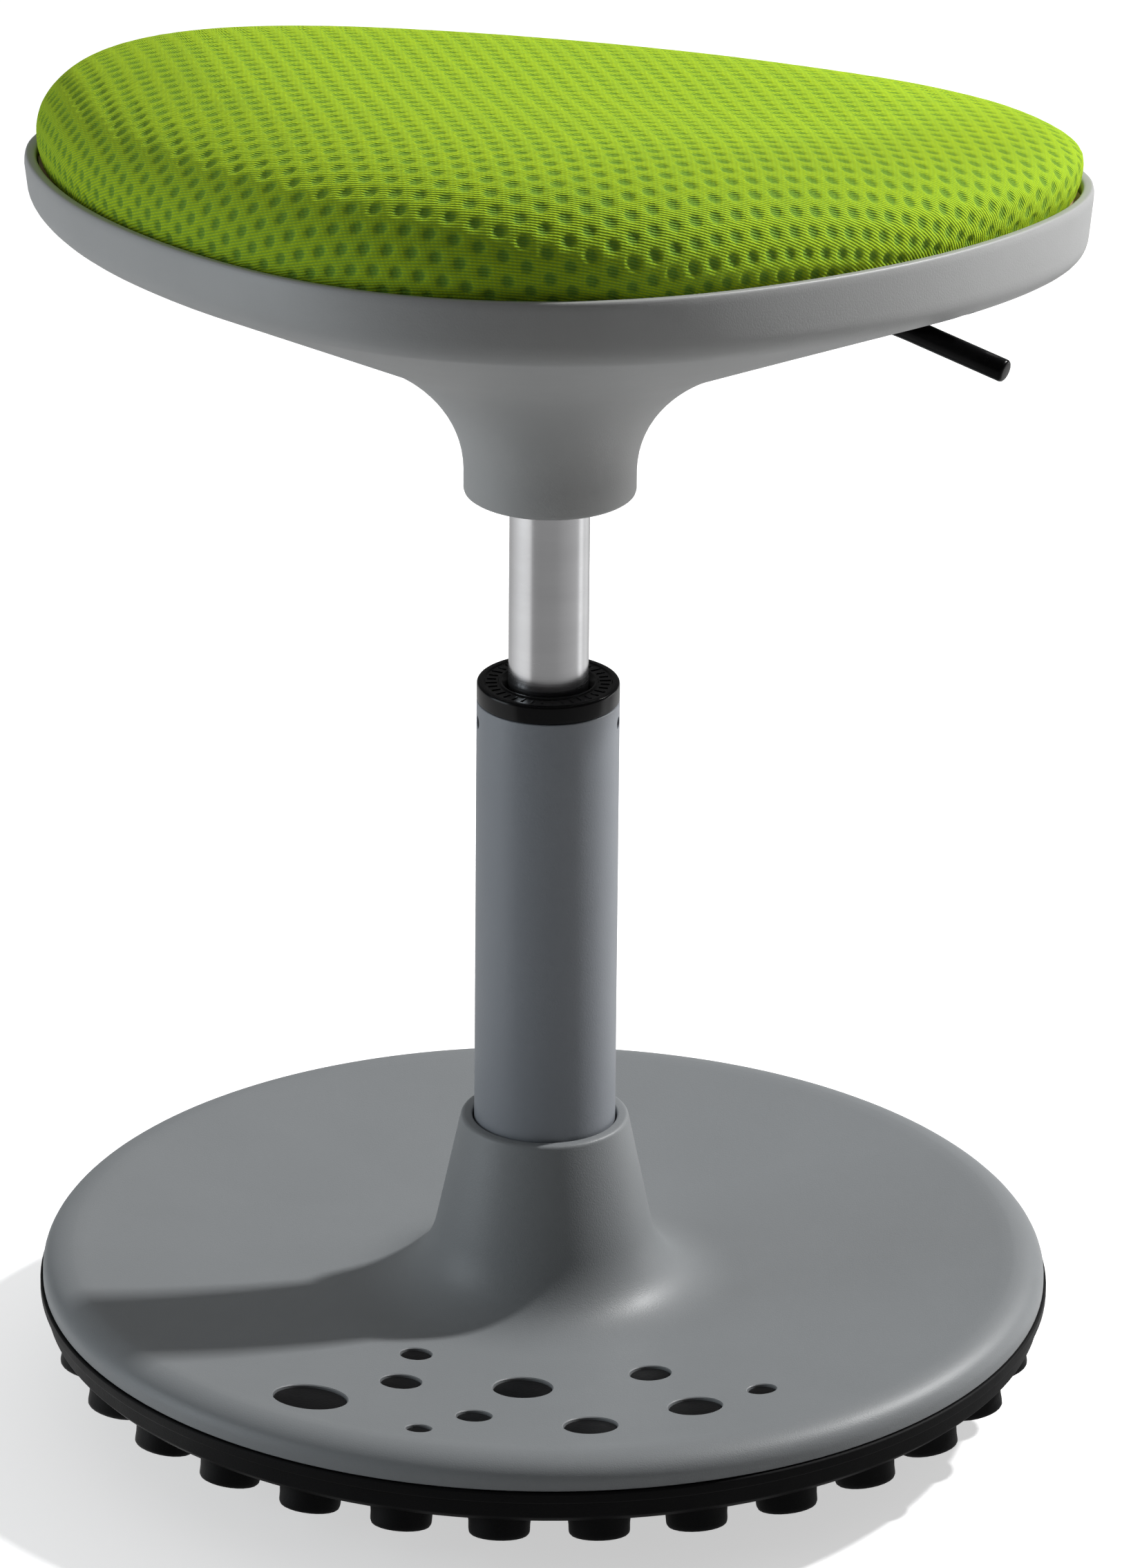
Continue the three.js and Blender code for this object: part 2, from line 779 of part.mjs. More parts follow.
function tubeEndGuide() {
  const shape = tubeBetween(
    rodRadius + gap,
    tubeRadius - tubeWall - gap,
    tubeFoot,
    tubeFoot + endGuideLength,
    hiddenSides,
  );
  return piece('tube_end_guide', shape, zincSteel());
}

const valveBoreFoot = valveFoot + pinRadius;
const pinFoot = valveBoreFoot + pinTravel + gap;

function valveBody() {
  const profile = [
    [0, valveFoot],
    [valveRadius, valveFoot],
    [valveRadius, tubeTop],
    [pinRadius + gap, tubeTop],
    [pinRadius + gap, valveBoreFoot],
    [0, valveBoreFoot],
  ];
  return piece('valve_body', revolve(profile, hiddenSides), zincSteel());
}

function releasePin() {
  const profile = [
    [0, pinFoot],
    [pinRadius, pinFoot],
    [pinRadius, pinTop - pinRadius / 2],
    [pinRadius / 2, pinTop],
    [0, pinTop],
  ];
  return piece('release_pin', revolve(profile, fastenerSides), brightSteel());
}

// Seat frame: X to the sitter's right, Y forward, Z square to the leaning rim
const seatMatrix = new THREE.Matrix4()
  .makeTranslation(0, 0, seatHeight)
  .multiply(new THREE.Matrix4().makeRotationZ(seatFacing - Math.PI / 2))
  .multiply(new THREE.Matrix4().makeRotationX(-seatLean));

function outlineRadius(angle, inset) {
  const fromBack = angle + Math.PI / 2;
  const wave = seatTriangleShare * Math.cos(3 * fromBack) + seatCornerShare * Math.cos(6 * fromBack);
  return seatRadius * (1 + wave) - inset;
}

function outlinePoint(angle, inset, height, share = 1) {
  const point = polar(outlineRadius(angle, inset) * share, angle, height);
  return point.add(new THREE.Vector3(seatShiftSide, seatShiftFore, 0));
}

const sideAngle = (i) => (2 * Math.PI * i) / seatSides;

// The band is a little deeper at the sitter's right, where the lever leaves the shell
const bandDepth = (angle) => bandHeight + bandLeanShare * outlinePoint(angle, bandDraft, 0).x;

function seatRing(inset, height, share = 1) {
  return Array.from({ length: seatSides }, (_, i) => outlinePoint(sideAngle(i), inset, height, share));
}

// Shell section at one angle round the seat, from the neck's foot up its outside, over the
// lip, down past the ledge and back down its inside. Depth 0 is the outside, 1 the inside.
function shellSection(i) {
  const angle = sideAngle(i);
  const worldAngle = angle + seatFacing - Math.PI / 2;
  const onSeat = (inset, height) => outlinePoint(angle, inset, height).applyMatrix4(seatMatrix);
  const onNeck = (radius, z) => polar(radius, worldAngle, z);
  const band = bandDepth(angle);
  const neckTop = neckFoot + neckStraight;
  const flare = (depth) => {
    const start = onNeck(neckRadius - depth, neckTop);
    const cornerRise = neckFoot + flareRise + depth * innerRiseShare;
    const corner = onNeck(flareRadius - depth * innerLeanShare, cornerRise);
    const edge = depth > 0 ? onSeat(lipWidth + ledgeWidth, boardFoot - gap) : onSeat(bandDraft, -band);
    const end = corner.clone().lerp(edge, flareShare);
    return { edge, end, curve: new THREE.QuadraticBezierCurve3(start, corner, end) };
  };
  const outside = flare(0);
  const inside = flare(shellWall);
  const toEdge = outside.edge.distanceTo(outside.end);
  const filletStart = outside.edge.clone().lerp(outside.end, bandFillet / toEdge);
  const filletEnd = onSeat(bandDraft * (1 - bandFillet / band), bandFillet - band);
  const fillet = new THREE.QuadraticBezierCurve3(filletStart, outside.edge, filletEnd);
  return [
    onNeck(neckRadius - neckEdge, neckFoot),
    onNeck(neckRadius, neckFoot + neckEdge),
    ...outside.curve.getPoints(5),
    outside.end.clone().lerp(filletStart, 0.5),
    ...fillet.getPoints(2),
    ...lipShares.map(([across, down]) => onSeat(lipWidth * across, -lipDepth * down)),
    onSeat(lipWidth, boardFoot - gap),
    onSeat(lipWidth + ledgeWidth, boardFoot - gap),
    ...inside.curve.getPoints(2).reverse(),
    onNeck(neckRadius - shellWall, neckFoot),
  ];
}

// The room inside the bowl, taken to half the wall's thickness, to which the posts reach
function bowlRoom() {
  const rings = [];
  const sections = Array.from({ length: seatSides }, (_, i) => {
    const angle = sideAngle(i);
    const worldAngle = angle + seatFacing - Math.PI / 2;
    const half = shellWall / 2;
    const cornerRise = neckFoot + flareRise + half * innerRiseShare;
    const corner = polar(flareRadius - half * innerLeanShare, worldAngle, cornerRise);
    const edge = outlinePoint(angle, lipWidth / 2 + bandDraft, half - bandDepth(angle));
    edge.applyMatrix4(seatMatrix);
    const top = outlinePoint(angle, lipWidth + ledgeWidth, boardFoot - gap).applyMatrix4(seatMatrix);
    return [corner, edge, top];
  });
  for (let k = 0; k < 3; k += 1) rings.push(sections.map((section) => section[k]));
  return loft(rings, false);
}

const postPlaces = [[1, 1], [-1, 1], [-1, -1], [1, -1]].map(([side, fore]) => new THREE.Vector2(
  side * seatRadius * postSpreadShare,
  fore * seatRadius * postDepthShare,
));
const boltPlaces = [[1, 1], [-1, 1], [-1, -1], [1, -1]].map(([side, fore]) => new THREE.Vector2(
  side * (seatPlateHalfWidth - boltInset),
  fore * (seatPlateHalfDepth - boltInset),
));

// Lever frame: origin at the pivot, X out along the lever, Z up
const leverMatrix = new THREE.Matrix4()
  .makeRotationZ(leverAzimuth)
  .multiply(new THREE.Matrix4().makeTranslation(leverArm, 0, leverHeight));

// The rod's centre line: level inside the shell, then a bend down and out to the grip
function leverPath() {
  const bendEnd = new THREE.Vector3(
    leverInner + leverBend * (1 + Math.cos(leverDroop)),
    0,
    -leverBend * Math.sin(leverDroop),
  );
  const along = new THREE.Vector3(Math.cos(leverDroop), 0, -Math.sin(leverDroop));
  const path = new THREE.CurvePath();
  const inner = new THREE.Vector3(paddleReach + paddleLength - leverArm - leverRadius, 0, 0);
  const bendStart = new THREE.Vector3(leverInner, 0, 0);
  const corner = new THREE.Vector3(leverInner + leverBend, 0, 0);
  path.add(new THREE.LineCurve3(inner, bendStart));
  path.add(new THREE.QuadraticBezierCurve3(bendStart, corner, bendEnd));
  path.add(new THREE.LineCurve3(bendEnd, bendEnd.clone().addScaledVector(along, leverOuter)));
  return path;
}

function leverRod() {
  const section = new THREE.Shape().absarc(0, 0, leverRadius, 0, 2 * Math.PI, false);
  const rod = new THREE.ExtrudeGeometry(section, {
    steps: 13,
    curveSegments: 5,
    bevelEnabled: false,
    extrudePath: leverPath(),
  });
  const paddle = blockBetween(
    new THREE.Vector3(-leverArm - paddleReach, -paddleHalfWidth, -paddleThickness / 2),
    new THREE.Vector3(paddleLength + paddleReach - leverArm, paddleHalfWidth, paddleThickness / 2),
  );
  const eye = rodBetween(pivotRadius + gap, -leverRadius - overrun, leverRadius + overrun, fastenerSides);
  const shape = cut(joined(rod, [paddle]), [eye.rotateX(Math.PI / 2)]);
  return piece('lever_rod', shape.applyMatrix4(leverMatrix), blackSteel());
}

// The slot in the shell that lets the rod out and leaves room for its lift
function leverSlot() {
  const path = leverPath();
  const [from, reach] = slotShares.map((share) => leverInner * share);
  const inside = path.getSpacedPoints(60).filter((p) => p.x > from && p.x <= reach);
  const lift = (p) => {
    const turned = p.clone().applyAxisAngle(new THREE.Vector3(0, -1, 0), leverLift);
    return new THREE.Vector2(turned.x, turned.z + leverRadius + slotMargin);
  };
  const lower = inside.map((p) => new THREE.Vector2(p.x, p.z - leverRadius - slotMargin));
  const upper = inside.map(lift).reverse();
  const outline = new THREE.Shape([...lower, ...upper]);
  const width = 2 * (leverRadius + slotMargin);
  const tool = new THREE.ExtrudeGeometry(outline, { depth: width, bevelEnabled: false });
  return tool.rotateX(Math.PI / 2).translate(0, width / 2, 0).applyMatrix4(leverMatrix);
}

function seatShell() {
  const sections = Array.from({ length: seatSides }, (_, i) => shellSection(i));
  const rings = sections[0].map((_, k) => sections.map((section) => section[k]));
  const room = solidOf(bowlRoom());
  const posts = postPlaces.map((place) => {
    const post = rodBetween(postRadius, -neckDrop, boardFoot - gap, fastenerSides);
    post.translate(place.x, place.y, 0).applyMatrix4(seatMatrix);
    return geometryOf(solidOf(post).intersect(room));
  });
  const bores = postPlaces.map((place) => {
    const foot = boardTop - screwLength - gap;
    const bore = rodBetween(screwRadius + gap, foot, boardFoot + overrun, fastenerSides);
    return bore.translate(place.x, place.y, 0).applyMatrix4(seatMatrix);
  });
  const shape = cut(joined(loft(rings, true), posts), [...bores, leverSlot()]);
  return piece('seat_shell', shape, greyPlastic());
}

function seatBoard() {
  const outline = new THREE.Shape(seatRing(lipWidth + gap, 0).map((p) => new THREE.Vector2(p.x, p.y)));
  const board = new THREE.ExtrudeGeometry(outline, { depth: boardThickness, bevelEnabled: false });
  board.translate(0, 0, boardFoot);
  const tools = [];
  for (const place of boltPlaces) {
    const recess = boardTop - teeFlangeThickness - gap;
    const profile = [
      [0, boardFoot - overrun],
      [teeBarrelRadius + gap, boardFoot - overrun],
      [teeBarrelRadius + gap, recess],
      [teeFlangeRadius + gap, recess],
      [teeFlangeRadius + gap, boardTop + overrun],
      [0, boardTop + overrun],
    ];
    tools.push(revolve(profile, fastenerSides).translate(place.x, place.y, 0));
  }
  for (const place of postPlaces) {
    const profile = [
      [0, boardFoot - overrun],
      [screwRadius + gap, boardFoot - overrun],
      [screwRadius + gap, boardTop - screwHeadHeight - gap],
      [screwHeadRadius + gap, boardTop],
      [screwHeadRadius + gap, boardTop + overrun],
      [0, boardTop + overrun],
    ];
    tools.push(revolve(profile, fastenerSides).translate(place.x, place.y, 0));
  }
  return piece('seat_board', cut(board, tools), plywood());
}

// Room under a level of the leaning mechanism plate, to trim what hangs from it
function roomBelow(level) {
  return blockBetween(
    new THREE.Vector3(-seatPlateHalfDepth, -seatPlateHalfDepth, -neckDrop),
    new THREE.Vector3(seatPlateHalfDepth, seatPlateHalfDepth, level),
  ).applyMatrix4(seatMatrix);
}

// Mechanism plate with two ears that carry the lever's pivot
function seatPlate() {
  const w = seatPlateHalfWidth;
  const d = seatPlateHalfDepth;
  const c = seatPlateCorner;
  const outline = new THREE.Shape();
  outline.absarc(w - c, d - c, c, 0, Math.PI / 2, false);
  outline.absarc(c - w, d - c, c, Math.PI / 2, Math.PI, false);
  outline.absarc(c - w, c - d, c, Math.PI, 1.5 * Math.PI, false);
  outline.absarc(w - c, c - d, c, 1.5 * Math.PI, 2 * Math.PI, false);
  for (const place of boltPlaces) {
    const hole = new THREE.Path().absarc(place.x, place.y, boltRadius + gap, 0, 2 * Math.PI, true);
    outline.holes.push(hole);
  }
  for (const fore of [-1, 1]) {
    const centre = fore * (seatPlateHalfDepth - seatPlateWindow / 2 - boltInset / 2);
    const window = new THREE.Path();
    window.absarc(seatPlateWindow, centre, seatPlateWindow / 2 - gap, -Math.PI / 2, Math.PI / 2, false);
    window.absarc(-seatPlateWindow, centre, seatPlateWindow / 2 - gap, Math.PI / 2, 1.5 * Math.PI, false);
    outline.holes.push(window);
  }
  const plate = new THREE.ExtrudeGeometry(outline, {
    depth: seatPlateThickness,
    bevelEnabled: false,
    curveSegments: 4,
  });
  plate.translate(0, 0, seatPlateFoot).applyMatrix4(seatMatrix);
  const room = roomBelow(seatPlateFoot + seatPlateThickness / 2);
  const ears = [-1, 1].map((side) => {
    const near = side * (leverRadius + gap);
    const far = side * (leverRadius + gap + earThickness);
    const ear = blockBetween(
      new THREE.Vector3(-earHalfWidth, Math.min(near, far), -earReach),
      new THREE.Vector3(earHalfWidth, Math.max(near, far), leverDrop),
    );
    const hole = rodBetween(pivotRadius + gap, -overrun * 5, overrun * 5, fastenerSides);
    return common(cut(ear, [hole.rotateX(Math.PI / 2)]).applyMatrix4(leverMatrix), room);
  });
  return piece('seat_plate', joined(plate, ears), blackSteel());
}

// Cone socket: the sleeve under the plate that the pressure tube wedges into, with a window
// for the lever
function coneSocket() {
  const foot = taperFoot - coneDrop;
  const outer = tubeRadius + coneWall;
  const profile = [
    [tubeOuterAt(foot) + gap, foot],
    [outer - gap, foot],
    [outer, foot + gap],
    [outer, seatHeight],
    [tubeOuterAt(tubeTop) + gap, seatHeight],
    [tubeOuterAt(tubeTop) + gap, tubeTop],
    [tubeRadius + gap, taperFoot],
  ];
  const window = blockBetween(
    new THREE.Vector3(-leverArm + paddleReach, -paddleHalfWidth - slotMargin, -leverRadius - slotMargin),
    new THREE.Vector3(0, paddleHalfWidth + slotMargin, leverDrop),
  ).applyMatrix4(leverMatrix);
  const sleeve = common(ring(profile, tubeSides), roomBelow(seatPlateFoot - gap));
  return piece('cone_socket', cut(sleeve, [window]), blackSteel());
}

function pivotPin() {
  const half = leverRadius + gap + earThickness + gap;
  const profile = [
    [0, -half - pivotHeadThickness],
    [pivotHead, -half - pivotHeadThickness],
    [pivotHead, -half],
    [pivotRadius, -half],
    [pivotRadius, half],
    [pivotHead, half],
    [pivotHead, half + pivotHeadThickness],
    [0, half + pivotHeadThickness],
  ];
  const pin = revolve(profile, fastenerSides).rotateX(Math.PI / 2).applyMatrix4(leverMatrix);
  return piece('lever_pivot_pin', pin, zincSteel());
}

function plateBolt(place, i) {
  const head = seatPlateFoot - gap;
  const tip = boardTop - teeFlangeThickness;
  const shank = rodBetween(boltRadius, head - boltHeadHeight / 2, tip, fastenerSides);
  const hexagon = rodBetween(boltHeadRadius, head - boltHeadHeight, head, 6);
  const bolt = joined(hexagon, [shank]).translate(place.x, place.y, 0);
  return piece(`plate_bolt_${i + 1}`, bolt, zincSteel());
}

function teeNut(place, i) {
  const bore = boltRadius + gap;
  const barrel = teeBarrelRadius;
  const flangeFoot = boardTop - teeFlangeThickness;
  const profile = [
    [bore, boardFoot],
    [barrel, boardFoot],
    [barrel, flangeFoot],
    [teeFlangeRadius, flangeFoot],
    [teeFlangeRadius, boardTop],
    [bore + teeBarrelWall, boardTop],
    [bore, boardTop - teeBarrelWall],
  ];
  const nut = ring(profile, fastenerSides).translate(place.x, place.y, 0);
  return piece(`tee_nut_${i + 1}`, nut, zincSteel());
}

function boardScrew(place, i) {
  const tip = boardTop - screwLength;
  const profile = [
    [0, tip],
    [screwRadius / 2, tip],
    [screwRadius, tip + 2 * screwRadius],
    [screwRadius, boardTop - screwHeadHeight],
    [screwHeadRadius, boardTop - gap],
    [0, boardTop - gap],
  ];
  const screw = revolve(profile, fastenerSides).translate(place.x, place.y, 0);
  return piece(`board_screw_${i + 1}`, screw, zincSteel());
}

function seatCushion() {
  const foot = lipWidth + 2 * gap;
  const side = cushionSideShares.map(([out, up]) => seatRing(
    foot - (foot - cushionBulge) * out,
    cushionBulgeHeight * up,
  ));
  const [leanSide, leanFore] = cushionLeanShares;
  const dome = cushionDomeShares.map((share) => {
    const rise = (1 - share ** cushionPower) ** (1 / cushionRoot);
    const height = cushionBulgeHeight + (cushionCrown - cushionBulgeHeight) * rise;
    return seatRing(cushionBulge, height, share).map((point) => {
      const lean = (point.x - seatShiftSide) * leanSide + (point.y - seatShiftFore) * leanFore;
      return point.add(new THREE.Vector3(0, 0, lean * rise));
    });
  });
  return piece('seat_cushion', loft([...side, ...dome], false), limeFabric());
}

// Assembly
const base = new THREE.Group();
base.add(rubberSole(), baseCover(), gripMat(), ballastPlate(), baseSocket(), columnTube(), guideBush());
for (let i = 0; i < coverScrews; i += 1) base.add(coverScrew(i));
base.add(washer('lower_thrust_washer', washerFoot, bearingBore, washerRadius, washerThickness, zincSteel()));
base.add(thrustBearing());

const swivel = new THREE.Group();
swivel.add(pistonRod(), piston());
const rodBore = rodEndRadius + gap;
swivel.add(washer(
  'upper_thrust_washer',
  upperWasherFoot,
  rodBore,
  washerRadius,
  washerThickness,
  zincSteel(),
));
swivel.add(washer('bump_stop', bufferFoot, rodRadius + gap, bufferRadius, bufferHeight, blackRubber()));
swivel.add(washer('rod_washer', clipTop - clipThickness, rodBore, clipRadius, clipThickness, zincSteel()));
const clipFoot = clipTop - 2 * clipThickness - gap;
swivel.add(washer('rod_clip', clipFoot, rodBore, clipRadius - gap * 4, clipThickness, blackSteel()));

const seat = new THREE.Group();
seat.add(pressureTube(), tubeEndGuide(), valveBody(), seatShell(), seatPlate(), coneSocket(), pivotPin());
const leaning = new THREE.Group();
leaning.applyMatrix4(seatMatrix);
leaning.add(seatBoard(), seatCushion());
boltPlaces.forEach((place, i) => leaning.add(plateBolt(place, i), teeNut(place, i)));
postPlaces.forEach((place, i) => leaning.add(boardScrew(place, i)));
seat.add(leaning);
seat.add(leverRod(), releasePin());

const stool = new THREE.Group();
stool.add(base, swivel, seat);

export default stool;
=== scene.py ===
import bpy, math
from mathutils import Matrix, Vector
from mathutils.bvhtree import BVHTree
from mathutils.kdtree import KDTree


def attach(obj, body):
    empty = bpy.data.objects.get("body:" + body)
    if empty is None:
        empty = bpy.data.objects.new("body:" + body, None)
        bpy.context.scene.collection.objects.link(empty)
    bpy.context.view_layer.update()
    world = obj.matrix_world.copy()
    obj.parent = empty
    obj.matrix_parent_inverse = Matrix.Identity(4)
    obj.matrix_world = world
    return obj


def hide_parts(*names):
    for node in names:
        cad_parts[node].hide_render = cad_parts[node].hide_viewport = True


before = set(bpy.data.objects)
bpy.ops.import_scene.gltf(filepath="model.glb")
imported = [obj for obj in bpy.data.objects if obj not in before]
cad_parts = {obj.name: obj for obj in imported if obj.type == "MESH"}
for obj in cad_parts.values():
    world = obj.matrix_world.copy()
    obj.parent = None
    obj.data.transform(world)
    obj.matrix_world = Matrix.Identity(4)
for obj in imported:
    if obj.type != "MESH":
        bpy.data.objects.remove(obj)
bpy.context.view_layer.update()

# Camera
# A long lens a little over three metres away looks down on the stool by twenty-two degrees. The
# angles are in radians, and the roll is the picture's own slight tilt.
eye = Vector((-0.00719, -3.36427, 1.63044))
pitch, roll, yaw = 0.394629, 0.009067, 0.003543
ahead = Vector((math.sin(yaw) * math.cos(pitch), math.cos(yaw) * math.cos(pitch), -math.sin(pitch)))
level_right = Vector((math.cos(yaw), -math.sin(yaw), 0))
level_up = level_right.cross(ahead)
right = level_right * math.cos(roll) + level_up * math.sin(roll)
up = level_up * math.cos(roll) - level_right * math.sin(roll)
turn = Matrix((right, up, -ahead)).transposed()
bpy.ops.object.camera_add(location=eye, rotation=turn.to_euler())
camera = bpy.context.object
camera.data.lens = 239.17
camera.data.sensor_width = 36
camera.data.clip_start, camera.data.clip_end = 0.1, 60
scene = bpy.context.scene
scene.camera = camera
scene.view_settings.view_transform = "Standard"


# Studio
# A white floor and surround. A small key light stands at the right and a little behind, soft lights
# stand low at both sides, and the camera's side is dim. The floor shows white to the camera and
# keeps the stool's shadow, and bright metal mirrors light and dark cards that stand round it.
class Wire:
    """One socket of a shader, so that its maths is written with the usual signs."""

    def __init__(self, tree, socket=None):
        self.tree, self.socket = tree, socket

    def node(self, kind, settings=None, inputs=None, out=0):
        made = self.tree.nodes.new(kind)
        for key, value in (settings or {}).items():
            if key == "stops":
                ramp = made.color_ramp.elements
                while len(ramp) < len(value):
                    ramp.new(0.5)
                for stop, (place, color) in zip(ramp, value):
                    stop.position, stop.color = place, color
            else:
                setattr(made, key, value)
        for key, value in (inputs or {}).items():
            if isinstance(value, Wire):
                self.tree.links.new(value.socket, made.inputs[key])
            else:
                made.inputs[key].default_value = value
        return Wire(self.tree, made.outputs[out] if len(made.outputs) else None)

    def math(self, operation, *others):
        inputs = dict(enumerate((self, *others)))
        return self.node("ShaderNodeMath", {"operation": operation}, inputs)

    def __add__(self, other):
        return self.math("ADD", other)

    def __sub__(self, other):
        return self.math("SUBTRACT", other)

    def __mul__(self, other):
        return self.math("MULTIPLY", other)

    def __truediv__(self, other):
        return self.math("DIVIDE", other)


floor_shift = 2
bpy.ops.mesh.primitive_plane_add(size=16, location=(0, floor_shift, 0))
floor = bpy.context.object
floor.name = "studio_floor"
paper = bpy.data.materials.new("studio_paper")
paper.use_nodes = True
paper.node_tree.nodes.clear()
wire = Wire(paper.node_tree)
camera_ray = wire.node("ShaderNodeLightPath", out="Is Camera Ray")
glossy_ray = wire.node("ShaderNodeLightPath", out="Is Glossy Ray")
place = wire.node("ShaderNodeTexCoord", out="Object")
across = wire.node("ShaderNodeSeparateXYZ", inputs={0: place}, out=0)
along = wire.node("ShaderNodeSeparateXYZ", inputs={0: place}, out=1) + floor_shift
round_it = along.math("ARCTAN2", across) / (2 * math.pi) + 0.5


def greys(levels, brightest=1.0):
    """Greys round the stool, from (share of a turn, brightness) pairs."""
    stops = [(where, (level / brightest,) * 3 + (1,)) for where, level in levels]
    return wire.node("ShaderNodeValToRGB", {"stops": stops}, {"Fac": round_it})


card_strength = 1.5
cards = greys([(0.0, 0.95), (0.095, 1.0), (0.112, 0.34), (0.30, 0.36), (0.42, 0.5), (0.505, 0.62),
               (0.52, 1.3), (0.552, 1.3), (0.565, 0.8), (0.62, 1.0), (0.69, 0.5), (0.85, 0.5),
               (0.93, 0.75), (1.0, 0.95)], card_strength)
mats = greys([(0.0, 0.6), (0.12, 0.55), (0.25, 0.42), (0.38, 0.6), (0.5, 0.85), (0.62, 0.7),
              (0.75, 0.6), (1.0, 0.6)])
matt = wire.node("ShaderNodeBsdfDiffuse", inputs={"Color": (0.8, 0.8, 0.8, 1)})
spread_mats = wire.node("ShaderNodeBsdfDiffuse", inputs={"Color": mats})
lifted = wire.node("ShaderNodeEmission", inputs={"Color": (1, 1, 1, 1), "Strength": 0.55})
both = wire.node("ShaderNodeAddShader", inputs={0: matt, 1: lifted})
mirrored = wire.node("ShaderNodeEmission", inputs={"Color": cards, "Strength": card_strength})
unseen = wire.node("ShaderNodeMixShader", inputs={"Fac": glossy_ray, 1: spread_mats, 2: mirrored})
shown = wire.node("ShaderNodeMixShader", inputs={"Fac": camera_ray, 1: unseen, 2: both})
wire.node("ShaderNodeOutputMaterial", inputs={"Surface": shown})
floor.data.materials.append(paper)

world = bpy.data.worlds.new("studio_world")
scene.world = world
world.use_nodes = True
world.node_tree.nodes.clear()
wire = Wire(world.node_tree)
camera_ray = wire.node("ShaderNodeLightPath", out="Is Camera Ray")
glossy_ray = wire.node("ShaderNodeLightPath", out="Is Glossy Ray")
direction = wire.node("ShaderNodeTexCoord", out="Generated")
backward = wire.node("ShaderNodeSeparateXYZ", inputs={0: direction}, out=1)
behind = wire.node("ShaderNodeMapRange", {"interpolation_type": "SMOOTHSTEP"},
                   {0: backward, 1: -0.5, 2: 0.7})
front, rear, mirrored, seen = [
    wire.node("ShaderNodeBackground", inputs={"Color": (1, 1, 1, 1), "Strength": strength})
    for strength in (0.09, 0.5, 0.12, 1.0)]
dim = wire.node("ShaderNodeMixShader", inputs={"Fac": behind, 1: front, 2: rear})
softer = wire.node("ShaderNodeMixShader", inputs={"Fac": glossy_ray, 1: dim, 2: mirrored})
shown = wire.node("ShaderNodeMixShader", inputs={"Fac": camera_ray, 1: softer, 2: seen})
wire.node("ShaderNodeOutputWorld", inputs={"Surface": shown})


def lamp(name, place, aim, size, power, color=(1, 1, 1)):
    way = Vector(aim) - Vector(place)
    bpy.ops.object.light_add(type="AREA", location=place, rotation=way.to_track_quat("-Z", "Y").to_euler())
    light = bpy.context.object
    light.name = name
    light.data.shape = "RECTANGLE"
    light.data.size, light.data.size_y = size
    light.data.energy = power
    light.data.color = color


lamp("key_light", (1.42, 0.69, 1.62), (0, 0, 0.2), (0.13, 0.13), 45)
lamp("left_light", (-1.6, -0.25, 0.45), (0, 0, 0.28), (0.9, 0.9), 7.5, (0.86, 0.94, 1.0))
lamp("right_light", (1.45, 0.75, 0.12), (0, 0, 0.4), (0.6, 0.6), 2)


# Rubber sole
# A black rubber moulding with a rolling underside, a two-step edge that wraps the cover's rim
# and rings of round studs. It is moulded in one and snaps over the cover's edge.
mm = 0.001
base_radius = 178.3
roll_radius = 740.05


def sag(radius, r):
    """How far a sphere of this radius has fallen away at r from its pole."""
    return radius - math.sqrt(radius * radius - r * r)


def only(*pieces):
    """Selects these pieces alone, the first one active."""
    bpy.ops.object.select_all(action="DESELECT")
    for piece in pieces:
        piece.select_set(True)
    bpy.context.view_layer.objects.active = pieces[0]


def stack(name, sides, count, shape, closed=False):
    """A ring is extruded upwards count times and each ring is drawn out to shape(k, angle), in
    millimetres. A closed one has its last ring bridged to its first."""
    bpy.ops.object.select_all(action="DESELECT")
    bpy.ops.mesh.primitive_circle_add(vertices=sides, radius=1, location=(0, 0, 0))
    piece = bpy.context.object
    piece.name = piece.data.name = name
    bpy.ops.object.mode_set(mode="EDIT")
    for _ in range(count - 1):
        bpy.ops.mesh.extrude_region_move(TRANSFORM_OT_translate={"value": (0, 0, 1)})
    if closed:
        bpy.ops.mesh.select_all(action="SELECT")
        bpy.ops.mesh.region_to_loop()
        bpy.ops.mesh.bridge_edge_loops()
    bpy.ops.object.mode_set(mode="OBJECT")
    for corner in piece.data.vertices:
        angle = math.atan2(corner.co.y, corner.co.x)
        corner.co = Vector(shape(round(corner.co.z), angle)) * mm
    bpy.ops.object.mode_set(mode="EDIT")
    bpy.ops.mesh.select_all(action="SELECT")
    bpy.ops.mesh.remove_doubles(threshold=0.000002)
    bpy.ops.mesh.normals_make_consistent(inside=False)
    bpy.ops.object.mode_set(mode="OBJECT")
    return piece


def eased(points, closed=False, steps=4):
    """Rounds the corners of a (radius, height, fillet) outline with short arcs."""
    out = []
    for i, (r, z, fillet) in enumerate(points):
        here = Vector((r, z))
        inner = closed or 0 < i < len(points) - 1
        if not fillet or not inner:
            out.append((r, z))
            continue
        to_last = Vector(points[i - 1][:2]) - here
        to_next = Vector(points[(i + 1) % len(points)][:2]) - here
        half = to_last.angle(to_next) / 2
        reach = min(fillet / math.tan(half), to_last.length * 0.49, to_next.length * 0.49)
        start, end = here + to_last.normalized() * reach, here + to_next.normalized() * reach
        for s in range(steps + 1):
            t = s / steps
            p = start * (1 - t) ** 2 + here * 2 * t * (1 - t) + end * t * t
            out.append((p.x, p.y))
    return out


def turned(name, sides, outline, closed=False):
    """A turned piece: its outline of (radius, height) swept once round the column's axis."""
    def shape(k, angle):
        r, z = outline[k]
        return r * math.cos(angle), r * math.sin(angle), z
    return stack(name, sides, len(outline), shape, closed)


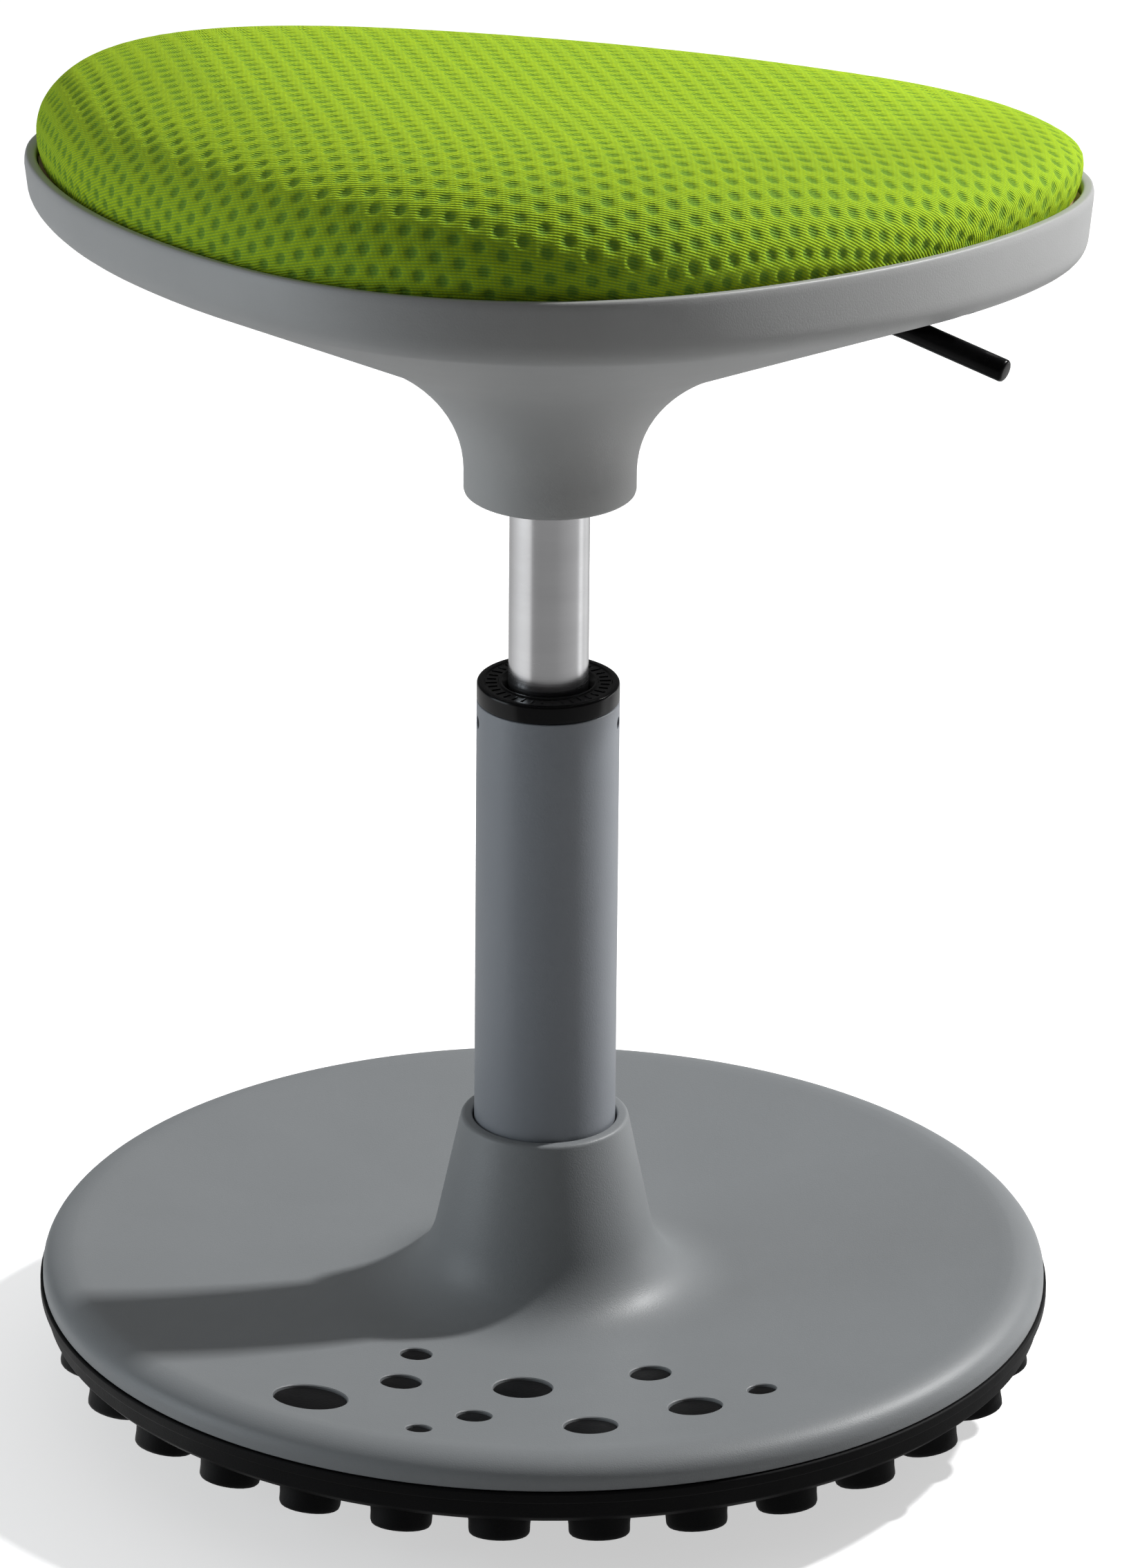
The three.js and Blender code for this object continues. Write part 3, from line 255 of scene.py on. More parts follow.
def smoothed(piece, degrees=35):
    """Shades smooth, apart from edges that turn by more than this."""
    only(piece)
    bpy.ops.object.shade_smooth_by_angle(angle=math.radians(degrees))


def fused(name, pieces):
    """Joins the pieces into one object."""
    only(*pieces)
    bpy.ops.object.join()
    piece = bpy.context.object
    piece.name = piece.data.name = name
    return piece


def surface(name, color, roughness, metallic=0.0):
    """A new material. Gives it back with its shader node and a wire to hang nodes on."""
    made = bpy.data.materials.new(name)
    made.use_nodes = True
    shader = made.node_tree.nodes["Principled BSDF"]
    shader.inputs["Base Color"].default_value = (*color, 1)
    shader.inputs["Roughness"].default_value = roughness
    shader.inputs["Metallic"].default_value = metallic
    return made, shader, Wire(made.node_tree)


def feed(shader, socket, source):
    source.tree.links.new(source.socket, shader.inputs[socket])


def tint(wire, amount, dark, light):
    """A colour between two, by an amount from 0 to 1."""
    return wire.node("ShaderNodeMix", {"data_type": "RGBA"},
                     {0: amount, 6: (*dark, 1), 7: (*light, 1)}, out=2)


def grain(wire, size, detail=2.0, stretch=(1, 1, 1)):
    """Noise with lumps of about this size in metres, on the piece's own coordinates."""
    place = wire.node("ShaderNodeTexCoord", out="Object")
    place = wire.node("ShaderNodeMapping", inputs={"Vector": place, "Scale": stretch})
    return wire.node("ShaderNodeTexNoise", inputs={"Vector": place, "Scale": 1 / size, "Detail": detail})


def bump(wire, height, depth, strength=1.0):
    return wire.node("ShaderNodeBump", inputs={"Height": height, "Distance": depth, "Strength": strength})


def moulded(name, dark, light, roughness, spread, size, depth, shine=0.5):
    """A moulded or painted skin: a fine grain, a faint drift of colour and of gloss."""
    made, shader, wire = surface(name, light, roughness)
    shader.inputs["Specular IOR Level"].default_value = shine
    drift = grain(wire, 0.045, 3.0)
    feed(shader, "Base Color", tint(wire, drift, dark, light))
    feed(shader, "Roughness", grain(wire, 0.012, 3.0) * spread + (roughness - spread / 2))
    feed(shader, "Normal", bump(wire, grain(wire, size), depth))
    return made


def dressed(piece, material, body, slot, *nodes):
    """The piece takes its material, rides on its body and stands for these CAD nodes."""
    piece.data.materials.clear()
    piece.data.materials.append(material)
    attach(piece, body)
    if nodes:
        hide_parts(*nodes)


stud_drop, sole_skin = 8.3, 4


def under(r):
    """The height of the sole's skin, which the studs hold clear of the ground."""
    return stud_drop + sag(roll_radius, r)


sole_line = [(0, under(0), 0)]
sole_line += [(r, under(r), 0) for r in range(20, 161, 20)]
sole_line += [(174.9, under(174.9), 1.2), (177.1, under(174.9) + 2.2, 1.2), (177.1, 37.3, 0.25),
              (179.3, 37.9, 0.7), (179.3, 41.2, 0.5), (178.8, 41.7, 0.3), (175, 41.7, 0),
              (175, 44.6, 0.4), (171.8, 44.6, 0.4), (171.8, under(171.8) + sole_skin, 0.5)]
sole_line += [(r, under(r) + sole_skin, 0) for r in range(160, 19, -20)]
sole_line += [(0, under(0) + sole_skin, 0)]
dish = turned("sole_dish", 180, eased(sole_line))

studs = []
stud_rings = [(0, 1), (41.25, 6), (82.5, 12), (123.75, 18), (165, 30)]
upright_reach = 42
ring_turn = math.radians(0.85)
for ring_radius, number in stud_rings:
    flat = ring_radius < upright_reach
    drop = sag(roll_radius, ring_radius) if flat else 0
    line = eased([(0, 0, 0), (10.6, 0, 3.4), (10.7, 4.4, 0), (11.4, stud_drop + 2 + drop, 0),
                  (0, stud_drop + 2 + drop, 0)], steps=5)
    for i in range(number):
        stud = turned("stud", 24, line)
        azimuth = 2 * math.pi * (i + 0.5) / number - math.pi / 2 + ring_turn
        lean = 0 if flat else -math.asin(ring_radius / roll_radius)
        rise = 0 if flat else sag(roll_radius, ring_radius)
        place = Matrix.Rotation(azimuth, 4, "Z") @ Matrix.Translation((ring_radius * mm, 0, rise * mm))
        stud.data.transform(place @ Matrix.Rotation(lean, 4, "Y"))
        studs.append(stud)
sole = fused("sole_skin", [dish, *studs])
smoothed(sole, 40)
sole_rubber = moulded("sole_rubber", (0.002, 0.002, 0.0022), (0.004, 0.004, 0.0045),
                      0.6, 0.12, 0.0007, 0.00006, 0.15)
dressed(sole, sole_rubber, "base", "sole_rubber", "rubber_sole")


# Base cover
# One grey moulding with a fine spark-eroded grain: a rolled edge, a shallow dish and a hub that
# sweeps up round the column. Ten round holes let the grip dots through.
dish_radius, rim_radius, rim_height = 949.6, 167, 52.6
wall = 3


def dish_height(r):
    """The height of the dished top, which is part of a large sphere."""
    return rim_height - sag(dish_radius, rim_radius) + sag(dish_radius, r)


def quadratic(a, b, c, steps):
    """A flat curve from a to c that is drawn towards b."""
    out = []
    for s in range(steps + 1):
        t = s / steps
        out.append(tuple(a[i] * (1 - t) ** 2 + b[i] * 2 * t * (1 - t) + c[i] * t * t for i in range(2)))
    return out


hub_top, hub_radius, hub_foot, foot_radius, flare_reach = 103.2, 29.6, 62, 38.2, 25
slope = (foot_radius - hub_radius) / (hub_top - hub_foot)
corner = (hub_radius + (hub_top - dish_height(foot_radius)) * slope, dish_height(foot_radius))
flare_end = corner[0] + flare_reach
flare = quadratic((foot_radius, hub_foot), corner, (flare_end, dish_height(flare_end)), 14)


def rolled_edge(wide, tall, steps):
    """A quarter of an oval, from the cover's side up to its rim."""
    turns = [t * math.pi / (2 * steps) for t in range(steps + 1)]
    return [(rim_radius + wide * math.cos(turn), rim_height - 7.6 + tall * math.sin(turn)) for turn in turns]


edge = rolled_edge(11.3, 7.6, 12)
inner_edge = rolled_edge(11.3 - wall, 7.6 - wall, 6)
dish_line = [(r, dish_height(r)) for r in range(163, 69, -4)]
cover_line = [(175.3, 42), (178.0, 42), (178.3, 42.3)] + edge + dish_line + flare[::-1]
cover_line += eased([(foot_radius - 0.1, hub_foot + 1, 0), (hub_radius, hub_top, 1.7),
                     (25.6, hub_top, 0.9), (25.6, 97.2, 0.4), (28, 95.4, 0)], steps=5)[1:]
cover_line += [(r - wall * (1 - i / 14), z - wall * i / 14) for i, (r, z) in enumerate(flare)][::2]
cover_line += [(r, z - wall) for r, z in dish_line[::-3]] + inner_edge[::-1]
cover = turned("cover_moulding", 192, cover_line, closed=True)

# Each dot has its place as a share of the base's radius, its angle in degrees and its relative size.
dot_shares = [(0.463, -122.7, 0.42), (0.612, -117.0, 0.55), (0.810, -123.9, 1.00),
              (0.854, -106.3, 0.33), (0.741, -100.4, 0.47), (0.558, -94.1, 0.80),
              (0.786, -83.3, 0.72), (0.524, -66.4, 0.55), (0.740, -66.5, 0.72), (0.735, -54.6, 0.38)]
widest_dot = 25.4


def dot_place(share, azimuth):
    """A frame on the dish that stands square to its surface."""
    r = base_radius * share
    turn = Matrix.Rotation(math.radians(azimuth), 4, "Z")
    lean = Matrix.Rotation(-math.asin(r / dish_radius), 4, "Y")
    return turn @ Matrix.Translation((r * mm, 0, dish_height(r) * mm)) @ lean


def carved(piece, tools):
    """Cuts the tools out of the piece and throws them away."""
    tool = fused("cutter", tools)
    only(piece)
    bpy.ops.object.modifier_add(type="BOOLEAN")
    cut = piece.modifiers[-1]
    cut.operation, cut.solver, cut.object = "DIFFERENCE", "EXACT", tool
    bpy.ops.object.modifier_apply(modifier=cut.name)
    bpy.data.objects.remove(tool)


cutters = []
hole_gap, hole_bevel = 0.3, 0.35
for share, azimuth, size in dot_shares:
    reach = widest_dot * size / 2 + hole_gap
    cutter = turned("cutter", 64, [(0, -7), (reach, -7), (reach, -0.3), (reach + hole_bevel, 0.1),
                                   (reach + hole_bevel, 3), (0, 3)])
    cutter.data.transform(dot_place(share, azimuth))
    cutters.append(cutter)
carved(cover, cutters)
smoothed(cover, 35)
cover_grey = moulded("cover_grey", (0.232, 0.244, 0.252), (0.256, 0.268, 0.277),
                     0.48, 0.08, 0.00055, 0.00007)
dressed(cover, cover_grey, "base", "cover_plastic", "base_cover")


# Grip dots
# One black rubber mat lies under the cover. Its ten bosses fill the cover's holes and end a
# little below the grey, so that a foot finds grip there. The mat is a wedge cut from a ring.
sheet_gap, sheet_thickness = 0.3, 2
sheet_line = [(r, dish_height(r) - wall - sheet_gap) for r in range(75, 161, 10)]
sheet_line += [(r, z - sheet_thickness) for r, z in sheet_line[::-1]]
mat = turned("mat_sheet", 160, sheet_line, closed=True)
only(mat)
bpy.ops.object.mode_set(mode="EDIT")
for azimuth, side in ((-131.5, 1), (-46, -1)):
    way = math.radians(azimuth)
    bpy.ops.mesh.select_all(action="SELECT")
    bpy.ops.mesh.bisect(plane_co=(0, 0, 0), plane_no=(math.sin(way) * side, -math.cos(way) * side, 0),
                        use_fill=True, clear_outer=True)
bpy.ops.object.mode_set(mode="OBJECT")
bosses = []
for share, azimuth, size in dot_shares:
    reach = widest_dot * size / 2
    line = eased([(0, -4.3, 0), (reach, -4.3, 0), (reach, -0.8, 0.7), (0, -0.62, 0)], steps=4)
    boss = turned("boss", 48, line)
    boss.data.transform(dot_place(share, azimuth))
    bosses.append(boss)
dots = fused("grip_dots", [mat, *bosses])
smoothed(dots, 40)
dot_rubber = moulded("dot_rubber", (0.002, 0.002, 0.0023), (0.004, 0.004, 0.0045),
                     0.42, 0.14, 0.0009, 0.00008, 0.12)
dressed(dots, dot_rubber, "base", "dot_rubber", "grip_mat")


# Ballast plate, its socket, screws and thrust bearing
# Sheet and turned steel hidden in the base: a black plate, and zinc plated parts with a
# cloudy, slightly warm bloom. Their shapes are the frame's own.
def plated(name, dark, light, roughness):
    """A plated metal whose colour and gloss drift in one cloudy pattern."""
    made, shader, wire = surface(name, light, roughness, 1.0)
    cloud = grain(wire, 0.006, 4.0)
    feed(shader, "Base Color", tint(wire, cloud, dark, light))
    feed(shader, "Roughness", cloud * 0.16 + (roughness - 0.08))
    feed(shader, "Normal", bump(wire, grain(wire, 0.0004), 0.00002))
    return made


def finish_nodes(material, *names):
    """Gives the frame's own pieces of these names a new material."""
    for name in names:
        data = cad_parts[name].data
        data.materials.clear()
        data.materials.append(material)


zinc = plated("zinc_plate", (0.36, 0.36, 0.35), (0.5, 0.51, 0.53), 0.36)
black_coat = moulded("black_coat", (0.012, 0.012, 0.013), (0.02, 0.02, 0.021), 0.38, 0.1, 0.0006, 0.00004)
finish_nodes(black_coat, "ballast_plate")
finish_nodes(zinc, "base_socket", "lower_thrust_washer", "thrust_bearing", "upper_thrust_washer",
             "rod_washer", "cover_screw_1", "cover_screw_2", "cover_screw_3", "cover_screw_4")


# Column
# A drawn steel tube, powder coated blue-grey with a fine orange peel. Its foot tapers into the
# socket, and two small holes near the top take the bush's pegs.
column_top = 261.5
column_line = eased([(6, 25, 0.3), (23.7, 25, 0.8), (25, 88, 0), (25, column_top, 0.5),
                     (23, column_top, 0.3), (23, 88, 0), (21.7, 28, 0.5), (6, 28, 0.3)], closed=True)
column = turned("column_skin", 128, column_line, closed=True)
snap_angles = (-math.radians(10.6), math.pi + math.radians(10.6))
snap_height = column_top - 7.2


def peg(angle, line, name):
    """A turned piece laid on its side, pointing out from the axis at a snap hole."""
    piece = turned(name, 32, line)
    piece.data.transform(Matrix.Translation((0, 0, snap_height * mm)) @ Matrix.Rotation(angle, 4, "Z")
                         @ Matrix.Rotation(math.pi / 2, 4, "Y"))
    return piece


carved(column, [peg(a, [(0, 20), (2.2, 20), (2.2, 24.75), (2.5, 25.05), (2.5, 28), (0, 28)], "cutter")
                for a in snap_angles])
smoothed(column, 35)
column_coat = moulded("column_coat", (0.25, 0.268, 0.295), (0.275, 0.293, 0.322), 0.4, 0.06, 0.0008, 0.00005)
dressed(column, column_coat, "base", "column_paint", "column_tube")


# Guide bush
# A glossy black moulding that guides the bright tube: a long sleeve with a flange on the
# column's mouth. Its top has a shallow groove and a ring of plain ticks.
bush_line = eased([(14.3, 163.8, 0.3), (22.4, 163.8, 0.5), (22.7, 166.2, 0), (22.7, 261.8, 0),
                   (25, 261.8, 0.4), (25, 268.5, 1.9), (22.6, 268.5, 0.3), (22.2, 268.0, 0.2),
                   (17.6, 268.0, 0.2), (17.2, 268.5, 0.3), (16.5, 268.5, 0.5), (14.3, 266.1, 0.4)],
                  closed=True)
bush = turned("bush_sleeve", 128, bush_line, closed=True)
bush_parts = [bush]
peg_line = eased([(0, 20.7, 0), (1.7, 20.7, 0), (1.7, 24.1, 0.5), (0, 24.1, 0)])
bush_parts += [peg(a, peg_line, "peg") for a in snap_angles]


def block(size, middle, bevel, steps):
    """A bevelled block of this size in millimetres."""
    bpy.ops.object.select_all(action="DESELECT")
    bpy.ops.mesh.primitive_cube_add(size=1, location=(0, 0, 0))
    bpy.ops.object.mode_set(mode="EDIT")
    bpy.ops.transform.resize(value=[side * mm for side in size])
    bpy.ops.transform.translate(value=[place * mm for place in middle])
    bpy.ops.mesh.bevel(offset=bevel * mm, segments=steps)
    bpy.ops.object.mode_set(mode="OBJECT")
    return bpy.context.object


ticks, long_tick, short_tick, first_tick = 36, 4.0, 3.2, 4
for i in range(ticks):
    tick = block((short_tick if i % 3 else long_tick, 0.55, 0.5), (19.9, 0, 268.05), 0.12, 2)
    tick.data.transform(Matrix.Rotation(math.radians(i * 360 / ticks + first_tick), 4, "Z"))
    bush_parts.append(tick)
bush = fused("bush_skin", bush_parts)
smoothed(bush, 40)
gloss_black, shader, wire = surface("gloss_black", (0.0015, 0.0015, 0.002), 0.2)
shader.inputs["Specular IOR Level"].default_value = 0.18
feed(shader, "Roughness", grain(wire, 0.008, 3.0) * 0.12 + 0.14)
feed(shader, "Normal", bump(wire, grain(wire, 0.002), 0.00002))
dressed(bush, gloss_black, "base", "bush_plastic", "guide_bush")


# Gas spring
# The pressure tube is ground steel: its grind lines run round it, so its highlights run up and
# down. The rod and the release pin are hard chrome, and a black rubber bump stop sits on the rod.
tube_line = eased([(12.5, 140.8, 0.2), (13.5, 140.8, 0.3), (14, 141.8, 0.3), (14, 375.3, 0),
                   (13.2, 417.3, 0.5), (11.7, 417.3, 0.3), (11.7, 394.8, 0), (12.5, 375.3, 0)], closed=True)
tube = turned("tube_skin", 128, tube_line, closed=True)
smoothed(tube, 35)
ground_steel, shader, wire = surface("ground_steel", (0.62, 0.62, 0.63), 0.22, 1.0)
rings = grain(wire, 0.0005, 3.0, (0.02, 0.02, 1.0))
bloom = grain(wire, 0.02, 3.0, (0.4, 0.4, 1.6))
feed(shader, "Base Color", tint(wire, bloom, (0.55, 0.55, 0.56), (0.68, 0.68, 0.69)))
feed(shader, "Roughness", rings * 0.14 + 0.17)
feed(shader, "Normal", bump(wire, rings, 0.000006))
dressed(tube, ground_steel, "seat", "tube_steel", "pressure_tube")
chrome, shader, wire = surface("hard_chrome", (0.6, 0.61, 0.63), 0.08, 1.0)
feed(shader, "Roughness", grain(wire, 0.004, 3.0) * 0.08 + 0.05)
finish_nodes(chrome, "piston_rod", "release_pin")
finish_nodes(zinc, "piston", "tube_end_guide", "valve_body")
finish_nodes(sole_rubber, "bump_stop")
finish_nodes(black_coat, "rod_clip")


# Seat shell
# One light grey moulding: a round neck flares into a shallow three-cornered bowl with an
# upright band and a rounded lip. A slot at the right lets the lever out, and four posts inside
# carry the board.
seat_height, seat_facing, seat_lean = 449.7, math.radians(82.3), math.radians(8.4)
seat_place = (Matrix.Translation((0, 0, seat_height)) @ Matrix.Rotation(seat_facing - math.pi / 2, 4, "Z")
              @ Matrix.Rotation(-seat_lean, 4, "X"))
seat_placed = Matrix.Translation((0, 0, seat_height * mm)) @ seat_place.to_3x3().to_4x4()
shift = (-3.7, 1.1)
seat_radius, three_lobes, six_lobes = 180.9, 0.085, 0.009
neck_foot, neck_radius = 339.2, 30
flare_start, bend_radius, bend_rise = 8.2, 30.6, 39.2
band, band_spread, draft, edge_fillet = 20.4, 0.0192, 1.7, 7
lip_width, ledge_width, board_foot, board_gap = 4.4, 4.2, -13.8, 0.3


def outline(angle, inset):
    """The seat's radius at this angle, less an inset."""
    back = angle + math.pi / 2
    lobes = three_lobes * math.cos(3 * back) + six_lobes * math.cos(6 * back)
    return seat_radius * (1 + lobes) - inset


def rim(angle, inset, height, share=1.0):
    """A point of the seat's own frame, at a share of the way out to the outline."""
    r = outline(angle, inset) * share
    return Vector((shift[0] + r * math.cos(angle), shift[1] + r * math.sin(angle), height))


def bend(a, b, c, steps):
    """The same curve as quadratic's, between points in space."""
    return [a * (1 - s / steps) ** 2 + b * (2 * (s / steps) * (1 - s / steps)) + c * (s / steps) ** 2
            for s in range(steps + 1)]


def shell_section(angle):
    """One section of the shell's wall, from the neck's foot up the outside, over the lip, down
    to the board's ledge and back down the inside."""
    turn = angle + seat_facing - math.pi / 2
    deep = band + band_spread * rim(angle, draft, 0).x
    ledge = board_foot - board_gap

    def neck(r, z):
        return Vector((r * math.cos(turn), r * math.sin(turn), z))

    def on_seat(inset, height):
        return seat_place @ rim(angle, inset, height)

    def flare(depth):
        start = neck(neck_radius - depth, neck_foot + flare_start)
        middle = neck(bend_radius - depth * 0.45, neck_foot + bend_rise + depth * 0.9)
        edge = on_seat(lip_width + ledge_width, ledge) if depth else on_seat(draft, -deep)
        return edge, middle.lerp(edge, 0.3), start, middle

    edge, end, start, middle = flare(0)
    outer = [neck(neck_radius - 1.4, neck_foot), neck(neck_radius - 0.9, neck_foot + 0.12),
             neck(neck_radius - 0.3, neck_foot + 0.55), neck(neck_radius, neck_foot + 1.5)]
    outer += bend(start, middle, end, 16)
    fillet_start = edge.lerp(end, edge_fillet / (edge - end).length)
    outer += [end.lerp(fillet_start, t / 4) for t in range(1, 4)]
    fillet_end = on_seat(draft * (1 - edge_fillet / deep), edge_fillet - deep)
    outer += bend(fillet_start, edge, fillet_end, 8)
    lip = ((0.0, 3.4), (0.0, 2.2), (0.12, 1.1), (0.35, 0.35), (0.75, 0.03), (1.3, 0.0), (2.2, 0.0),
           (3.1, 0.05), (3.7, 0.25), (4.15, 0.8), (4.4, 1.8))
    outer += [on_seat(across, -down) for across, down in lip]
    outer += [on_seat(lip_width, -8), on_seat(lip_width, ledge + 0.2), on_seat(lip_width + 0.2, ledge),
              on_seat(lip_width + ledge_width, ledge)]
    edge, end, start, middle = flare(wall)
    inner = bend(start, middle, end, 8)[::-1]
    bore = neck_radius - wall
    return outer + inner + [neck(bore, neck_foot + 0.4), neck(bore + 0.4, neck_foot)]


sections = {}


def shell_point(k, angle):
    """One point of a section. Each section is worked out once and kept."""
    key = round(angle, 5)
    if key not in sections:
        sections[key] = shell_section(angle)
    return sections[key][k]


shell = stack("shell_wall", 192, len(shell_section(0)), shell_point, closed=True)
lever_way, lever_arm, lever_height = math.radians(-29), 30, 426.5
lever_place = (Matrix.Rotation(lever_way, 4, "Z")
               @ Matrix.Translation((lever_arm * mm, 0, lever_height * mm)))
lever_lift, lever_droop, lever_bend = math.radians(4.5), math.radians(13), 12
level_end = seat_radius * 0.47
slot_stations = [level_end * (0.8 + 0.78 * i / 9) for i in range(10)]
slot_gap, slot_squareness = 5.8, 6


def rod_line(x):
    """The height of the rod's middle line above its pivot, by the way out from the pivot."""
    past = max(0.0, x - level_end - lever_bend / 2)
    return -past * math.tan(lever_droop)


def slot_point(k, angle):
    """The slot's tool has room for the rod at rest and lifted, and rounded corners."""
    x = slot_stations[min(max(k - 1, 0), len(slot_stations) - 1)]
    low = rod_line(x) - slot_gap
    high = x * math.sin(lever_lift) + rod_line(x) * math.cos(lever_lift) + slot_gap
    across, tall = math.cos(angle), math.sin(angle)
    round_off = 0.0
    if 0 < k <= len(slot_stations):
        round_off = (across ** slot_squareness + tall ** slot_squareness) ** (-1 / slot_squareness)
    return x, slot_gap * across * round_off, (low + high) / 2 + (high - low) / 2 * tall * round_off


slot = stack("slot", 32, len(slot_stations) + 2, slot_point)
slot.data.transform(lever_place)
carved(shell, [slot])
bowl_depth, post_radius, post_bore = 44, 6, 2.3
posts = []
for side, fore in ((1, 1), (-1, 1), (-1, -1), (1, -1)):
    x, y = side * seat_radius * 0.6, fore * seat_radius * 0.42
    angle = math.atan2(y - shift[1], x - shift[0])
    share = math.hypot(x - shift[0], y - shift[1]) / outline(angle, lip_width + ledge_width)
    foot, top = -band - (1 - share) * bowl_depth, board_foot - board_gap
    post_line = eased([(post_bore, foot, 0), (post_radius, foot, 0), (post_radius, top, 0.4),
                       (post_bore, top, 0.2)], closed=True)
    post = turned("post", 32, post_line, closed=True)
    post.data.transform(seat_placed @ Matrix.Translation((x * mm, y * mm, 0)))
    posts.append(post)
shell = fused("shell_skin", [shell, *posts])
smoothed(shell, 38)
shell_grey = moulded("shell_grey", (0.385, 0.388, 0.385), (0.42, 0.423, 0.42), 0.48, 0.07, 0.0006, 0.00006)
dressed(shell, shell_grey, "seat", "shell_plastic", "seat_shell")


# Seat board and mechanism
# A plywood board on the shell's ledge carries a black pressed plate with the cone socket, the
# lever's ears and zinc plated fasteners. Their shapes are the frame's own.
plywood, shader, wire = surface("birch_plywood", (0.5, 0.33, 0.17), 0.6)
place = wire.node("ShaderNodeTexCoord", out="Object")
level = wire.node("ShaderNodeVectorMath", {"operation": "DOT_PRODUCT"},
                  {0: place, 1: tuple(seat_place.to_3x3() @ Vector((0, 0, 1)))}, out="Value")
ply = 0.0015
plies = (level * (math.pi / ply)).math("SINE") * 0.5 + 0.5
figure = grain(wire, 0.004, 4.0, (0.15, 1.0, 1.0))
feed(shader, "Base Color", tint(wire, plies * 0.5 + figure * 0.5, (0.38, 0.22, 0.1), (0.6, 0.42, 0.23)))
feed(shader, "Normal", bump(wire, figure, 0.00008))
finish_nodes(plywood, "seat_board")
finish_nodes(black_coat, "seat_plate", "cone_socket")
finish_nodes(zinc, "lever_pivot_pin")
for i in range(1, 5):
    finish_nodes(zinc, f"plate_bolt_{i}", f"tee_nut_{i}", f"board_screw_{i}")


# Lever
# A black coated steel rod, eight millimetres thick, with a flat paddle at its inner end. It runs
# level inside the shell, bends down a little and ends in a rounded tip.
rod_radius, rod_outer = 4.0, 36.7
along = Vector((math.cos(lever_droop), -math.sin(lever_droop)))
spine = [(-10.0, 0.0), (-10.0, 0.0), (-9.4, 0.0), (20.0, 0.0), (50.0, 0.0), (level_end, 0.0)]
girths = [0.0, 3.4] + [rod_radius] * 4
elbow = Vector((level_end + lever_bend, 0))
bent = quadratic((level_end, 0), tuple(elbow), tuple(elbow + along * lever_bend), 8)[1:]
spine += bent
girths += [rod_radius] * len(bent)
tip = Vector(bent[-1]) + along * rod_outer
for back, girth in ((25, rod_radius), (12, rod_radius), (1.3, rod_radius), (0.8, 3.9), (0.35, 3.6),
                    (0.08, 3.1), (0.0, 2.5), (0.0, 0.0)):
    place = tip - along * back
    spine.append((place.x, place.y))
    girths.append(girth)


def rod_point(k, angle):
    """A point of the rod's skin, on a ring square to its middle line."""
    before, after = Vector(spine[max(k - 1, 0)]), Vector(spine[min(k + 1, len(spine) - 1)])
    way = (after - before).normalized() if (after - before).length > 1e-6 else along
    x, z = spine[k]
    g = girths[k]
    return x - way.y * g * math.sin(angle), g * math.cos(angle), z + way.x * g * math.sin(angle)


rod = stack("lever_bar", 40, len(spine), rod_point)
paddle = block((30, 10, 4), (-21, 0, 0), 0.8, 3)
lever = fused("lever_skin", [rod, paddle])
lever.data.transform(lever_place)
smoothed(lever, 40)
lever_black, shader, wire = surface("lever_black", (0.0012, 0.0012, 0.0016), 0.3)
shader.inputs["Specular IOR Level"].default_value = 0.12
feed(shader, "Roughness", grain(wire, 0.006, 3.0) * 0.14 + 0.22)
feed(shader, "Normal", bump(wire, grain(wire, 0.0011), 0.00003))
dressed(lever, lever_black, "lever", "black_steel", "lever_rod")


# Cushion
# A foam block with a crowned top, covered in lime green spacer mesh: a ribbed yarn face with
# staggered round dimples. The cover is pulled down over the foam and glued under its edge, so
# the foam's push rounds every edge.
crown, bulge, bulge_height, foot_inset, board_top = 34.5, 3.2, 9, 5.0, -3.5
power, root, lean_side, lean_fore = 5.25, 1.9, -0.048, -0.026
swell_height, swell_way = 10.4, math.radians(78)
softening, soft_way = 2.2, math.radians(112)
side_steps = [(1.2, board_top), (0.5, -3.2), (0.15, -2.4), (0.0, 0.2), (-0.7, 1.2), (-1.2, 2.7),
              (-1.55, 4.6), (-1.72, 6.6)]
dome_shares = [1.0, 0.9965, 0.991, 0.984, 0.975, 0.964, 0.95, 0.932, 0.91, 0.885, 0.855, 0.82, 0.78, 0.735,
               0.685, 0.63, 0.57, 0.5, 0.43, 0.36, 0.29, 0.22, 0.15, 0.08, 0.0]


def cushion_line(angle, shrink=0.0):
    """The cushion's side and top at one angle, as seat-frame points from its underside's middle
    to its crown. The foam swells towards the sitter's knees."""
    to_knees = max(0.0, math.cos(angle + swell_way)) ** 2
    soft_power = power - softening * max(0.0, math.cos(angle + soft_way)) ** 2
    line = [rim(angle, foot_inset + shrink, board_top, t) for t in (0.0, 0.35, 0.7, 0.9)]
    line += [rim(angle, foot_inset + shrink + inset, height) for inset, height in side_steps]
    for share in dome_shares:
        rise = (1 - share ** soft_power) ** (1 / root)
        point = rim(angle, bulge + shrink, 0, share)
        lean = (point.x - shift[0]) * lean_side + (point.y - shift[1]) * lean_fore
        swell = swell_height * to_knees * share ** 1.5 * math.sqrt(1 - share ** 12)
        point.z = bulge_height + (crown - bulge_height - shrink) * rise + lean * rise + swell
        line.append(point)
    return line


lines = {}
draw_in = 0.8


def cushion_point(k, angle):
    """The drawn skin lies a little inside, so that the foam's push brings it out."""
    key = round(angle, 5)
    if key not in lines:
        lines[key] = cushion_line(angle, draw_in)
    return lines[key][k]


def remeshed(piece, voxel):
    """Even faces of this size instead of the loft's long ones."""
    only(piece)
    bpy.ops.object.modifier_add(type="REMESH")
    piece.modifiers[-1].mode, piece.modifiers[-1].voxel_size = "VOXEL", voxel
    bpy.ops.object.modifier_apply(modifier=piece.modifiers[-1].name)


def clamped(value):
    return max(0.0, min(1.0, value))


def smooth_step(t):
    return t * t * (3 - 2 * t)


